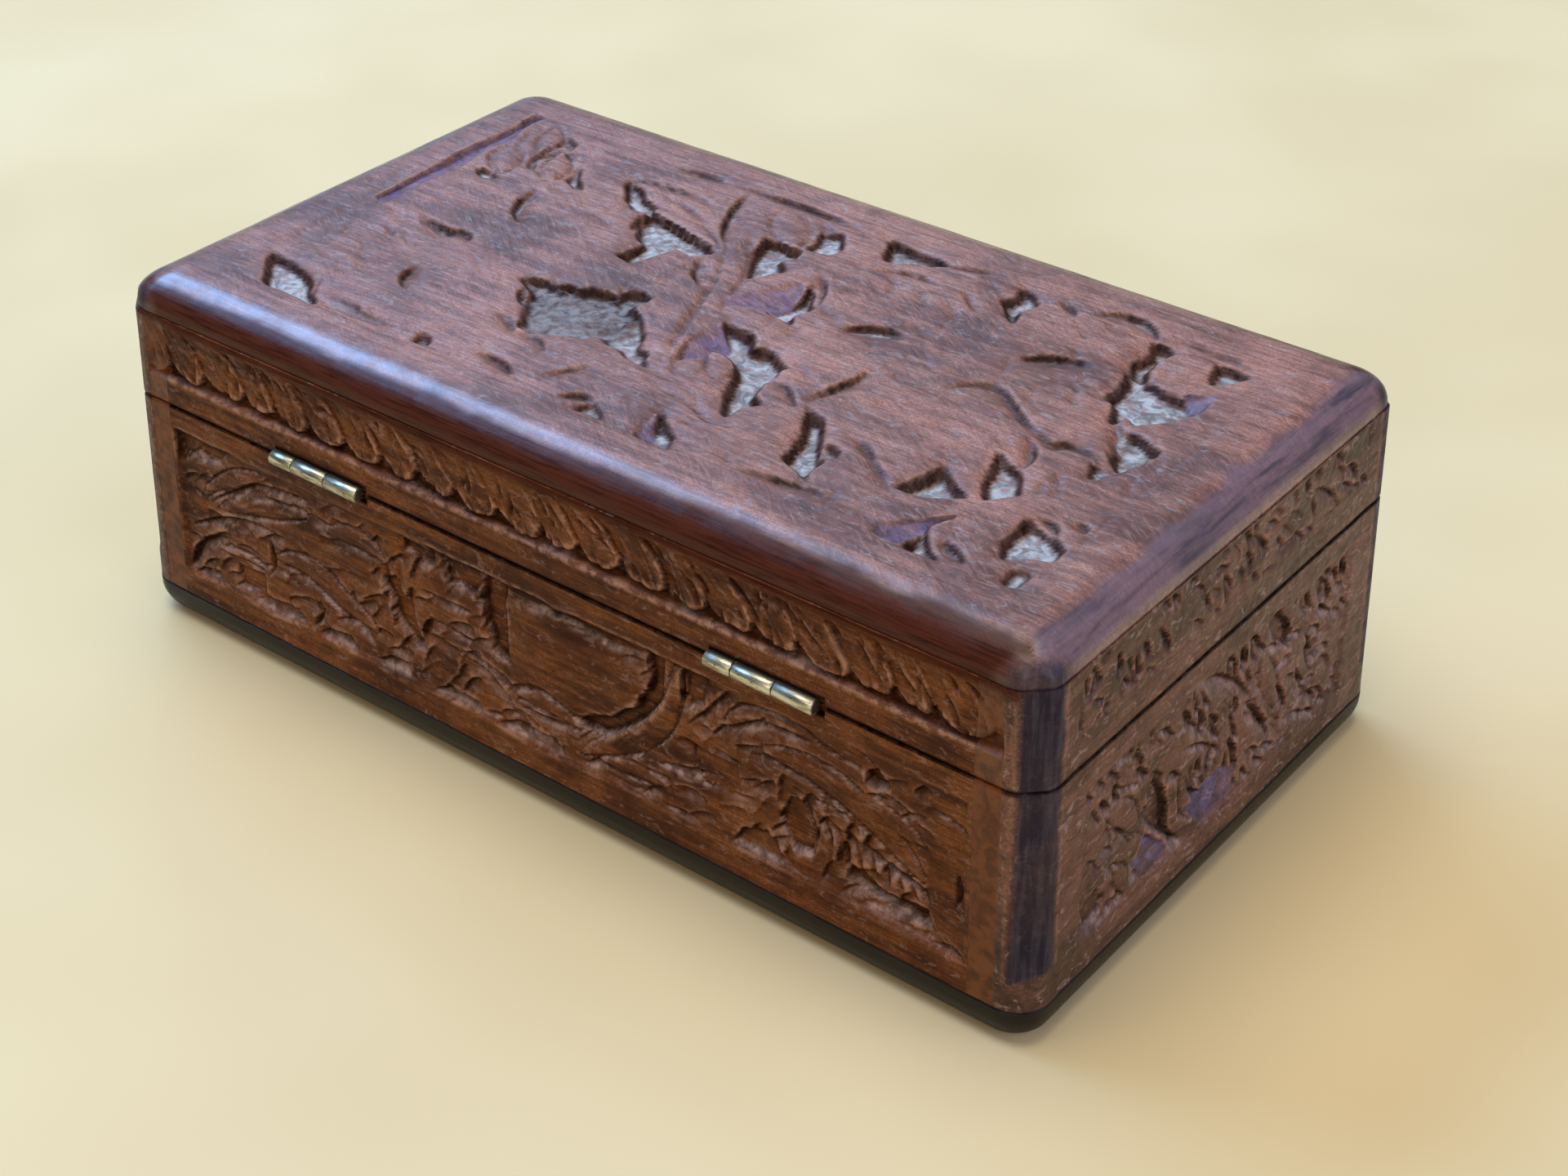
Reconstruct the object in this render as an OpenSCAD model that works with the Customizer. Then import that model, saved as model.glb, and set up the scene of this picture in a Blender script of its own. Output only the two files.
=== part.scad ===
// Carved wooden keepsake box: a boarded body, a hollow hinged lid and two small butt hinges.
// The origin is the centre of the underside. +X runs along the box, the front faces -Y,
// the hinges are on the +Y side and +Z is up.

/* [Box] */
// Length over the end boards
box_length = 178; // [150:1:230]
// Width from the front to the hinge side
box_width = 100; // [84:1:140]
// Height of the body, from the table to the seam
body_height = 42; // [38:1:80]
// Height of the lid, from the seam to its top
lid_height = 21.2; // [20:0.1:40]
// Gap left along the seam when the lid is shut
seam_gap = 0.3; // [0.2:0.1:0.6]

/* [Boards] */
// Thickness of the upright boards
wall_t = 10; // [9:0.5:14]
// Thickness of the base board
base_t = 6; // [5.5:0.5:9]
// Thickness of the lid's top board
top_t = 5.5; // [5.5:0.5:8]
// How far the top board stands back from the rails under it
top_step = 0.3; // [0.1:0.1:1]
// Radius of the upright corners
corner_r = 5.5; // [4:0.5:8]
// Width of the flat planed on each upright corner
corner_flat = 4.5; // [2:0.5:6]

/* [Rounded edges] */
// How far the top board's rounded edge reaches in
top_round_in = 7.5; // [4:0.5:9]
// How far the top board's rounded edge reaches down
top_round_down = 5; // [3:0.5:5]
// How far the base board's rounded edge reaches in
base_round_in = 4; // [2:0.5:4]
// How far the base board's rounded edge reaches up
base_round_up = 5; // [3:0.5:5]

/* [Carving] */
// Width of the plain border round the carved panel of the lid
panel_border = 12.5; // [11:0.5:16]
// Depth of the carved ground in the lid's panel
ground_depth = 2; // [1:0.1:3]
// Width of the line scribed round the panel
scribe_w = 0.8; // [0.5:0.1:1.5]
// Depth of the line scribed round the panel
scribe_depth = 0.5; // [0.3:0.1:1]
// Depth of the cuts in the sides
side_depth = 1.6; // [0.8:0.1:2.5]
// Height of the plain strip above and below the seam
seam_strip = 4.5; // [3.5:0.5:6]
// Height of the plain strip above the base board
plinth_strip = 4.8; // [3:0.1:7]
// Spacing of the feather cuts round the lid
feather_pitch = 8.9; // [7:0.1:14]
// Width of one feather cut
feather_w = 2.6; // [1.5:0.1:4]
// Slant of a feather cut from level
feather_slant = 62; // [45:1:80]

/* [Hinges] */
// Length of a hinge, a three-quarter inch butt
hinge_length = 19.05; // [16:0.05:25.4]
// Distance from the end of the box to the middle of a hinge
hinge_inset = 45; // [32:1:60]
// Radius of the hinge barrel
barrel_r = 1.25; // [1.1:0.05:1.6]
// Radius of the hinge pin
hinge_pin_r = 0.6; // [0.5:0.05:0.7]
// Running clearance of the hinge pin
pin_clear = 0.04; // [0.02:0.01:0.08]
// Thickness of a hinge leaf
leaf_t = 0.8; // [0.6:0.1:1]
// Width of a hinge leaf beside its barrel
leaf_w = 5.6; // [4.5:0.1:6]
// Length of the hinge's short first knuckle
first_knuckle = 4.8; // [4:0.1:6]
// Length of the hinge's middle knuckle
middle_knuckle = 7; // [5:0.1:8]
// Gap between two knuckles
knuckle_gap = 0.2; // [0.1:0.05:0.4]
// How far the barrel's axis stands out from the back
barrel_out = 0.6; // [0.4:0.1:1.2]

/* [Fasteners] */
// Radius of a hinge screw's shank
screw_r = 0.75; // [0.6:0.05:0.8]
// Radius of a hinge screw's head
screw_head_r = 1.5; // [1.2:0.1:1.8]
// Length of a hinge screw under its head
screw_length = 8; // [6:0.5:10]
// Spacing of the two screws in a leaf
screw_spacing = 11; // [9:0.5:12]
// Radius of a base nail's shank
nail_r = 0.7; // [0.5:0.05:0.9]
// Radius of a base nail's head
nail_head_r = 1.2; // [1:0.1:1.6]
// Thickness of a base nail's head
nail_head_t = 0.6; // [0.4:0.1:1]
// Length of a base nail
nail_length = 16; // [12:1:22]
// How deep a nail's head is set below the underside
nail_set = 0.3; // [0.1:0.1:0.8]
// Distance of a base nail from the outside of the box
nail_inset = 5.5; // [5:0.1:6]
// Radius of a corner dowel
dowel_r = 1.5; // [1:0.1:2]
// Length of a corner dowel
dowel_length = 14; // [10:1:16]
// Distance of a body dowel from the board's nearest edge
dowel_margin = 9; // [7:0.5:11]
// Clearance of a fastener in its hole
hole_clear = 0.03; // [0.01:0.01:0.08]

/* [Hidden] */

// Heights
rail_z = body_height + seam_gap;
top_z = rail_z + lid_height;
rail_top = top_z - top_t;
seam_z = body_height + seam_gap/2;
body_field_low = base_t + plinth_strip;
body_field_h = body_height - seam_strip - body_field_low;
lid_field_low = rail_z + seam_strip;
lid_field_h = rail_top - lid_field_low;

// Lengths of the boards that fit between others
inner_length = box_length - 2*wall_t;
panel_l = box_length - 2*panel_border;
panel_w = box_width - 2*panel_border;

// Hinges
hinge_x = box_length/2 - hinge_inset;
axis_y = box_width/2 + barrel_out;
knuckle_clear = 0.15;
mortise_clear = 0.1;
notch_end = 1;
screw_tip = 1.2;
screw_slot_w = 0.35;
screw_slot_depth = 0.3;

// How far a cutting solid runs past the face that it cuts
over = 1;
slice_t = 0.01;
fine = 64;
LEFT = -1;
RIGHT = 1;
FRONT = 0;
RIGHT_END = 1;
BACK = 2;
LEFT_END = 3;

// Colours
SIDE_WOOD = [0.38, 0.21, 0.13];
TOP_WOOD = [0.45, 0.28, 0.24];
BASE_WOOD = [0.13, 0.07, 0.06];
PALE_WOOD = [0.72, 0.56, 0.36];
BRASS = [0.72, 0.68, 0.52];
STEEL = [0.55, 0.55, 0.56];

// The designs are drawn as seen from outside, u to the right and v up, on fields of
// these sizes, and stretch with the field that they are cut in.
PANEL_DRAWN = [153, 75];
LONG_DRAWN = [158, 26.7];
END_DRAWN = [77, 26.7];

// Sunk ground between the leaves of the lid's panel
PANEL_POCKETS = [
    [[-67, 36], [-63, 31], [-63, 22], [-65, 23], [-66, 31]],
    [[-58, 27], [-53, 24], [-51, 19], [-54, 20]],
    [[-44, 25], [-35, 22], [-35, 20], [-40, 20]],
    [[-34, 17], [-27, 16], [-19, 15], [-21, 11], [-24, 11], [-25, 5], [-29, 5], [-30, 12]],
    [[-14, 24], [-5, 18], [-7, 11], [-11, 16]],
    [[-8, 33], [-3, 31], [-2, 28], [-5, 25]],
    [[3, 36], [15, 36], [9, 31], [6, 31]],
    [[3, 11], [8, 9], [6, 4], [4, 6]],
    [[30, 36], [34, 34], [33, 27], [30, 30]],
    [[56, 32], [58, 31], [58, 23], [71, 19], [68, 12], [63, 12], [59, 15], [56, 22]],
    [[66, 34], [73, 33], [69, 27]],
    [[64, 10], [66, 8], [73, 5], [70, -6], [67, 0]],
    [[55, -9], [59, -13], [64, -16], [60, -20], [57, -15]],
    [[50, -16], [58, -21], [48, -25]],
    [[26, -16], [31, -19], [33, -24], [37, -28], [36, -31], [31, -28], [30, -22]],
    [[-1, -2], [6, -6], [11, -8], [18, -20], [17, -25], [13, -20], [10, -14], [6, -11], [3, -12], [1, -16], [-1, -10]],
    [[-36, -10], [-28, -7], [-18, -3], [-12, -10], [-8, -17], [-2, -20], [-13, -18], [-23, -22], [-27, -23], [-30, -16]],
    [[-24, -25], [-17, -25], [-18, -28], [-22, -28]],
    [[-73, -31], [-62, -32], [-59, -36], [-68, -36]],
    [[-54, -33], [-42, -34], [-41, -36], [-52, -36]],
    [[10, -30], [14, -34], [11, -36]],
    [[53, -34], [59, -28], [60, -33], [64, -36], [54, -36]],
    [[67, -24], [75, -23], [75, -34], [70, -31]]
];

// Gouge cuts: u, v, slant, length and width
PANEL_GOUGES = [
    [-22, 28, -66, 19, 3], [-58, -6, 0, 12, 2.2], [-52, 9, -59, 12, 2.2], [-49, -23, -80, 10, 1.8],
    [-14, 9, -49, 11, 2], [-39, 29, 5, 13, 1.8], [-19, -35, -8, 11, 1.6], [-3, 8, 58, 14, 4],
    [20, 9, 15, 9, 3], [47, 18, 15, 10, 3], [41, 3, 35, 7, 1.8], [49, 1, -33, 11, 2],
    [26, -6, 78, 16, 1.8], [59, -2, 4, 12, 1.6], [41, -23, -24, 12, 1.4], [21, -15, -20, 8, 1.6],
    [37, -35, 8, 16, 1.5], [14, 27, 5, 11, 1.6], [-9, -31, 70, 8, 1.4]
];
LONG_GOUGES = [
    [-74, -8, 45, 12, 2], [-58, 8, 20, 24, 2.6], [-57, -7, 60, 7, 2.4], [-35, 8, -50, 9, 3],
    [-27, -2, -62, 13, 3.2], [-23, 7, 10, 5, 2], [-8, 6, 84, 12, 3], [-8, -6, -18, 16, 2],
    [22, 7, 75, 12, 3], [15, -3, 41, 16, 3], [19, -10, 18, 18, 1.6], [32, 8, 70, 9, 4],
    [46, 8, 14, 22, 2.2], [41, -1, 80, 6, 3], [66, -10, -5, 13, 1.8], [-42, -10, 8, 16, 2]
];
END_GOUGES = [
    [-16, -4, -60, 14, 4], [17, 8, -52, 10, 4], [2, 7, -45, 11, 2.4], [11, -3, -55, 13, 3],
    [-3, -8, -25, 12, 3], [27, -2, -80, 7, 1.8], [30, 8, -50, 7, 2.5], [-15, 8, -35, 5, 1.8],
    [-30, 5, -60, 6, 1.6], [18, -7, -60, 6, 1.6], [-29, -7, 30, 7, 2.5]
];
// The fan of fine veins in the long side's last leaf
FAN_COUNT = 7;
FAN_START = 50;
FAN_PITCH = 3.4;

// Flat shapes

// Rectangle with round corners
module rounded_rect(l, w, r) {
    square([l - 2*r, w], center = true);
    square([l, w - 2*r], center = true);
    for (x = [-1, 1], y = [-1, 1])
        translate([x*(l/2 - r), y*(w/2 - r)]) circle(r = r, $fn = fine);
}

// Rectangle whose round corners are given as points, for the slices of a rounded slab
module slice_rect(l, w, r) {
    corners = [[1, 1], [-1, 1], [-1, -1], [1, -1]];
    polygon([for (q = [0:3], a = [0:15:90])
        [corners[q].x*(l/2 - r), corners[q].y*(w/2 - r)] + r*[cos(a + 90*q), sin(a + 90*q)]]);
}

// Pointed lens with its long axis along X
module lens(length, width) {
    r = (length*length + width*width)/(4*width);
    intersection() {
        translate([0, r - width/2]) circle(r = r, $fn = fine);
        translate([0, width/2 - r]) circle(r = r, $fn = fine);
    }
}

// Solid shapes

// Board whose upper edge is rounded to a quarter ellipse
module rounded_slab(l, w, t, r, round_in, round_h) {
    hull() {
        linear_extrude(slice_t) slice_rect(l, w, r);
        for (a = [0:15:90]) {
            inset = round_in*(1 - cos(a));
            translate([0, 0, t - round_h*(1 - sin(a)) - slice_t])
                linear_extrude(slice_t) slice_rect(l - 2*inset, w - 2*inset, r - inset/3);
        }
    }
}

// Cuts the gouges and pockets of a design into a face that looks along +Z
module carve(gouges, pockets, drawn, field, depth) {
    stretch = [field.x/drawn.x, field.y/drawn.y];
    grown = min(stretch.x, stretch.y);
    translate([0, 0, -depth]) linear_extrude(depth + over) {
        for (outline = pockets)
            polygon([for (p = outline) [p.x*stretch.x, p.y*stretch.y]]);
        for (g = gouges)
            translate([g[0]*stretch.x, g[1]*stretch.y]) rotate(g[2]) lens(g[3]*grown, g[4]*grown);
    }
}

// Turns a design drawn in XY so that it lies on one side of the box
module on_side(side, z) {
    reach = side % 2 == 0 ? box_width/2 : box_length/2;
    rotate([0, 0, 90*side]) translate([0, -reach, z]) rotate([90, 0, 0]) children();
}

// The flats planed on the upright corners
module corner_flats(low, high) {
    depth = corner_r - sqrt(corner_r*corner_r - corner_flat*corner_flat/4);
    for (x = [-1, 1], y = [-1, 1])
        translate([x*(box_length/2 - corner_r), y*(box_width/2 - corner_r), low])
            rotate([0, 0, atan2(y, x)])
                translate([corner_r - depth, -corner_r, 0]) cube([corner_r, 2*corner_r, high - low]);
}

// The feather cuts that run round the lid on one side
module feather_cuts(side, length) {
    count = floor(length/feather_pitch);
    cut = lid_field_h/sin(feather_slant)*0.9;
    on_side(side, lid_field_low + lid_field_h/2)
        translate([0, 0, -side_depth]) linear_extrude(side_depth + over)
            for (i = [0:count - 1])
                translate([(i - (count - 1)/2)*length/count, 0])
                    rotate(-feather_slant) lens(cut, feather_w);
}

// The carving of one long side of the body
module long_side_cuts(side) {
    fan = [for (i = [0:FAN_COUNT - 1]) [FAN_START + FAN_PITCH*i, -3 - i/2, -72 + 3*i, 9, 1]];
    on_side(side, body_field_low + body_field_h/2)
        carve(concat(LONG_GOUGES, fan), [], LONG_DRAWN, [inner_length, body_field_h], side_depth);
}

// The carving of one end of the body
module end_cuts(side) {
    on_side(side, body_field_low + body_field_h/2)
        carve(END_GOUGES, [], END_DRAWN, [box_width - 2*panel_border, body_field_h], side_depth);
}

// Places of the fasteners

// Runs its children at each body dowel, with +X along the dowel
module at_body_dowels() {
    for (x = [-1, 1], y = [-1, 1], z = [base_t + dowel_margin, body_height - dowel_margin])
        translate([x*inner_length/2, y*(box_width - wall_t)/2, z]) children();
}

// Runs its children at each lid dowel, with +X along the dowel
module at_lid_dowels() {
    for (x = [-1, 1], y = [-1, 1])
        translate([x*inner_length/2, y*(box_width - wall_t)/2, (rail_z + rail_top)/2]) children();
}

// Runs its children at each base nail, on the underside
module at_base_nails() {
    for (y = [-1, 1], x = [-1, 0, 1])
        translate([x*box_length/3, y*(box_width/2 - nail_inset), 0]) children();
    for (x = [-1, 1], y = [-1, 1])
        translate([x*(box_length/2 - nail_inset), y*box_width/4, 0]) children();
}

// Runs its children at a hinge, with the origin on the barrel's axis
module at_hinge(side) {
    translate([side*hinge_x, axis_y, seam_z]) children();
}

// Runs its children at both hinges
module at_hinges() {
    at_hinge(LEFT) children();
    at_hinge(RIGHT) children();
}

// Runs its children on the seam face of a lower leaf at each screw, from a hinge's origin
module at_leaf_screws() {
    for (x = [-1, 1])
        translate([x*screw_spacing/2, -(barrel_r + knuckle_clear + leaf_w/2), -seam_gap/2]) children();
}

// Fasteners

// A dowel along X, or its hole
module dowel(clear) {
    rotate([0, 90, 0])
        cylinder(r = dowel_r + clear, h = dowel_length + 2*clear, center = true, $fn = fine);
}

// A nail driven up from the underside, or its hole
module nail(clear) {
    translate([0, 0, nail_set]) cylinder(r = nail_head_r + clear, h = nail_head_t, $fn = fine);
    translate([0, 0, nail_set]) cylinder(r = nail_r + clear, h = nail_length + clear, $fn = fine);
}

// The hole of a nail, open at the underside
module nail_hole() {
    nail(hole_clear);
    translate([0, 0, -over]) cylinder(r = nail_head_r + hole_clear, h = over + nail_set + nail_head_t, $fn = fine);
}

// A countersunk wood screw with its head's face at z = 0, grown by a clearance
module screw_body(clear) {
    translate([0, 0, -leaf_t]) cylinder(r1 = screw_r + clear, r2 = screw_head_r + clear, h = leaf_t, $fn = fine);
    translate([0, 0, screw_tip - screw_length])
        cylinder(r = screw_r + clear, h = screw_length - screw_tip, $fn = fine);
    translate([0, 0, -screw_length - clear])
        cylinder(r1 = screw_r/4 + clear, r2 = screw_r + clear, h = screw_tip + clear, $fn = fine);
}

// The hole of a screw, open at the seam
module screw_hole() {
    screw_body(hole_clear);
    cylinder(r = screw_head_r + hole_clear, h = over, $fn = fine);
}

module screw() {
    difference() {
        screw_body(0);
        translate([0, 0, over/2 - screw_slot_depth])
            cube([3*screw_head_r, screw_slot_w, over], center = true);
    }
}

// The screws of one leaf, the lower leaf's or the upper one's
module leaf_screws(upper) {
    color(BRASS) mirror([0, 0, upper ? 1 : 0]) at_leaf_screws() screw();
}

// Hinges

// One knuckle with the tab that joins it to its leaf
module knuckle(from, to) {
    translate([from, 0, 0]) rotate([0, 90, 0]) cylinder(r = barrel_r, h = to - from, $fn = fine);
    translate([from, -(barrel_r + 2*knuckle_clear), -seam_gap/2 - leaf_t])
        cube([to - from, barrel_r + 2*knuckle_clear, leaf_t]);
}

// A leaf that lies under the seam, with the knuckles that it is given
module hinge_leaf(knuckles) {
    color(BRASS) difference() {
        union() {
            translate([-hinge_length/2, -(barrel_r + knuckle_clear + leaf_w), -seam_gap/2 - leaf_t])
                cube([hinge_length, leaf_w, leaf_t]);
            for (k = knuckles) knuckle(k[0], k[1]);
        }
        rotate([0, 90, 0])
            cylinder(r = hinge_pin_r + pin_clear, h = hinge_length + 2*over, center = true, $fn = fine);
        at_leaf_screws() screw_hole();
    }
}

// Ends of the knuckles along the barrel, from the short one
first_end = hinge_length/2 - first_knuckle;
middle_start = first_end - knuckle_gap;
middle_end = middle_start - middle_knuckle;
last_start = middle_end - knuckle_gap;

module body_leaf() {
    hinge_leaf([[first_end, hinge_length/2], [-hinge_length/2, last_start]]);
}

module lid_leaf() {
    mirror([0, 0, 1]) hinge_leaf([[middle_end, middle_start]]);
}

module hinge_pin() {
    color(STEEL) rotate([0, 90, 0]) cylinder(r = hinge_pin_r, h = hinge_length, center = true, $fn = fine);
}

// The wood cut away under the seam for a leaf, its barrel and its screws
module hinge_mortise() {
    leaf_in = barrel_r + knuckle_clear + leaf_w + mortise_clear;
    barrel_in = barrel_r + knuckle_clear;
    half = hinge_length/2 + mortise_clear;
    translate([-half, -leaf_in, -seam_gap/2 - leaf_t]) cube([2*half, leaf_in + over, leaf_t + seam_gap/2]);
    translate([-half - notch_end, -barrel_in, -barrel_in])
        cube([2*half + notch_end, barrel_in + over, barrel_in]);
    at_leaf_screws() screw_hole();
}

// Body

module base_board() {
    color(BASE_WOOD) difference() {
        translate([0, 0, base_t]) mirror([0, 0, 1])
            rounded_slab(box_length, box_width, base_t, corner_r, base_round_in, base_round_up);
        at_base_nails() nail_hole();
    }
}

// A long board of the body, on the front or the back
module long_board(side) {
    y = side == FRONT ? -box_width/2 : box_width/2 - wall_t;
    color(SIDE_WOOD) difference() {
        translate([-inner_length/2, y, base_t]) cube([inner_length, wall_t, body_height - base_t]);
        long_side_cuts(side);
        at_body_dowels() dowel(hole_clear);
        at_base_nails() nail(hole_clear);
        if (side == BACK) at_hinges() hinge_mortise();
    }
}

// The plan of an end board or an end rail
module end_plan(x) {
    intersection() {
        rounded_rect(box_length, box_width, corner_r);
        translate([x*(box_length - wall_t)/2, 0]) square([wall_t, box_width + over], center = true);
    }
}

module end_board(side, x) {
    color(SIDE_WOOD) difference() {
        translate([0, 0, base_t]) linear_extrude(body_height - base_t) end_plan(x);
        corner_flats(body_field_low, body_height + over);
        end_cuts(side);
        at_body_dowels() dowel(hole_clear);
        at_base_nails() nail(hole_clear);
    }
}

// Lid

module lid_top_board() {
    edge = 2*top_step;
    color(TOP_WOOD) translate([0, 0, rail_top]) difference() {
        rounded_slab(box_length - edge, box_width - edge, top_t, corner_r, top_round_in, top_round_down);
        translate([0, 0, top_t]) rotate([0, 0, 180])
            carve(PANEL_GOUGES, PANEL_POCKETS, PANEL_DRAWN, [panel_l, panel_w], ground_depth);
        translate([0, 0, top_t - scribe_depth]) linear_extrude(scribe_depth + over) difference() {
            square([panel_l + 2*scribe_w, panel_w + 2*scribe_w], center = true);
            square([panel_l, panel_w], center = true);
        }
    }
}

// A long rail of the lid, on the front or the back
module long_rail(side) {
    y = side == FRONT ? -box_width/2 : box_width/2 - wall_t;
    color(SIDE_WOOD) difference() {
        translate([-inner_length/2, y, rail_z]) cube([inner_length, wall_t, rail_top - rail_z]);
        feather_cuts(side, inner_length);
        at_lid_dowels() dowel(hole_clear);
        if (side == BACK) at_hinges() mirror([0, 0, 1]) hinge_mortise();
    }
}

module end_rail(side, x) {
    color(SIDE_WOOD) difference() {
        translate([0, 0, rail_z]) linear_extrude(rail_top - rail_z) end_plan(x);
        corner_flats(rail_z - over, rail_top + over);
        feather_cuts(side, box_width - 2*panel_border);
        at_lid_dowels() dowel(hole_clear);
    }
}

base_board();
long_board(FRONT);  // front_board
long_board(BACK);  // back_board
end_board(LEFT_END, LEFT);  // left_end_board
end_board(RIGHT_END, RIGHT);  // right_end_board
color(PALE_WOOD) at_body_dowels() dowel(0);  // body_dowels
color(STEEL) at_base_nails() nail(0);  // base_nails
lid_top_board();
long_rail(FRONT);  // lid_front_rail
long_rail(BACK);  // lid_back_rail
end_rail(LEFT_END, LEFT);  // lid_left_rail
end_rail(RIGHT_END, RIGHT);  // lid_right_rail
color(PALE_WOOD) at_lid_dowels() dowel(0);  // lid_dowels
at_hinge(LEFT) body_leaf();  // left_hinge_body_leaf
at_hinge(LEFT) lid_leaf();  // left_hinge_lid_leaf
at_hinge(LEFT) hinge_pin();  // left_hinge_pin
at_hinge(LEFT) leaf_screws(false);  // left_hinge_body_screws
at_hinge(LEFT) leaf_screws(true);  // left_hinge_lid_screws
at_hinge(RIGHT) body_leaf();  // right_hinge_body_leaf
at_hinge(RIGHT) lid_leaf();  // right_hinge_lid_leaf
at_hinge(RIGHT) hinge_pin();  // right_hinge_pin
at_hinge(RIGHT) leaf_screws(false);  // right_hinge_body_screws
at_hinge(RIGHT) leaf_screws(true);  // right_hinge_lid_screws
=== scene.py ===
# Looks of a carved wooden keepsake box, built round its packed construction.
# Lengths are in millimetres until a mesh is made. The designs are drawn as seen from outside,
# u to the right and v up.
import math
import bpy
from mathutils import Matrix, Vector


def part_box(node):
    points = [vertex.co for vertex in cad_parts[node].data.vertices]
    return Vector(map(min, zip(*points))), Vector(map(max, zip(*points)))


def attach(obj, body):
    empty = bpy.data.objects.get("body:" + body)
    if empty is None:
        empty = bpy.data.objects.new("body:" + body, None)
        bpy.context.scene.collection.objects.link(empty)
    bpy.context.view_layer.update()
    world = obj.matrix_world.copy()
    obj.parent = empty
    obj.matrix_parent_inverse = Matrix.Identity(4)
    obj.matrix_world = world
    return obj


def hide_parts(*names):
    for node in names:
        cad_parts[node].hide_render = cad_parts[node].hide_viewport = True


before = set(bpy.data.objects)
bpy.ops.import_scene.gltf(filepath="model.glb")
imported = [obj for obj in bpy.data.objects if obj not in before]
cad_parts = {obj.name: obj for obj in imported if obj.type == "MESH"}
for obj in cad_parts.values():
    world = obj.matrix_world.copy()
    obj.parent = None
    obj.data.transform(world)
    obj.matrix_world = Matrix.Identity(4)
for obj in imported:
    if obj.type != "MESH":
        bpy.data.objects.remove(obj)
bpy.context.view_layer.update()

from types import SimpleNamespace

import bmesh
import bpy
import numpy as np
from mathutils import Matrix, Vector

MM = 0.001


def box_mm(node):
    """Lowest and highest corner of a node, in millimetres."""
    low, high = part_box(node)
    return np.array(low) / MM, np.array(high) / MM


# Sizes from the frame
BASE = box_mm("base_board")
LENGTH, WIDTH, BASE_T = BASE[1] - BASE[0]
BODY_TOP = box_mm("back_board")[1][2]
INNER_L = 2 * box_mm("back_board")[1][0]
RAIL_Z, RAIL_TOP = (box_mm("lid_back_rail")[end][2] for end in (0, 1))
TOP_L, TOP_W, TOP_Z = 2 * box_mm("lid_top_board")[1]
TOP_Z /= 2
WALL = (LENGTH - INNER_L) / 2
SEAM_Z = (BODY_TOP + RAIL_Z) / 2
PIN = {side: box_mm(f"{side}_hinge_pin") for side in ("left", "right")}
HINGE_L = PIN["left"][1][0] - PIN["left"][0][0]
HINGE_X = {side: (low[0] + high[0]) / 2 for side, (low, high) in PIN.items()}
AXIS_Y = (PIN["left"][0][1] + PIN["left"][1][1]) / 2
PIN_R = (PIN["left"][1][2] - PIN["left"][0][2]) / 2

# Sizes that match the construction's own
CORNER_R = 5.5
CORNER_FLAT = 4.5
CORNER_CUT = 3.9
FLAT_STOP = 10.8
TOP_ROUND = (7.5, 5)
BASE_ROUND = (4, 5)
PANEL_BORDER = 12.5
FIELD_LOW, FIELD_HIGH = 10.8, 37.5
FIELD_MIDDLE, FIELD_HALF = (FIELD_LOW + FIELD_HIGH) / 2, (FIELD_HIGH - FIELD_LOW) / 2
BAND_LOW, FEATHERS = 46.8, 21
BAND_HEIGHT = RAIL_TOP - BAND_LOW
EDGE, FINE_EDGE = 0.2, 0.03
BARREL_R = 1.25
LEAF_T = 0.8
LEAF_W = 5.6
LEAF_GAP = 0.15
KNUCKLES = (4.8, 7, 0.2)
SCREW_X = 5.5
MORTISE = (6.5, 0.8)
NOTCH = (0.8, 1.25)
MORTISE_HALF = 9.625
NOTCH_PAST = 1
NAIL_HOLE = (1.23, 0.31)
NAIL_INSET = 5.5

# Spacing of the points on carved faces
STEP_TOP = 0.42
STEP_SIDE = 0.34
STEP_END = 0.4

# Fine veins: distance between two, and width and depth of one
VEIN_PITCH = 1.15
VEIN_CUT = (0.85, 0.17)

# Values kept at each point for the materials
MARKS = ("dust", "dark", "wear_and_highlight", "flat", "rim", "polish_and_reflection", "lid_edge_shade", "end_rim_reflection", "plain")

# Sides, counted from the front, anticlockwise as seen from above
FRONT, RIGHT_END, BACK, LEFT_END = range(4)

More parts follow.
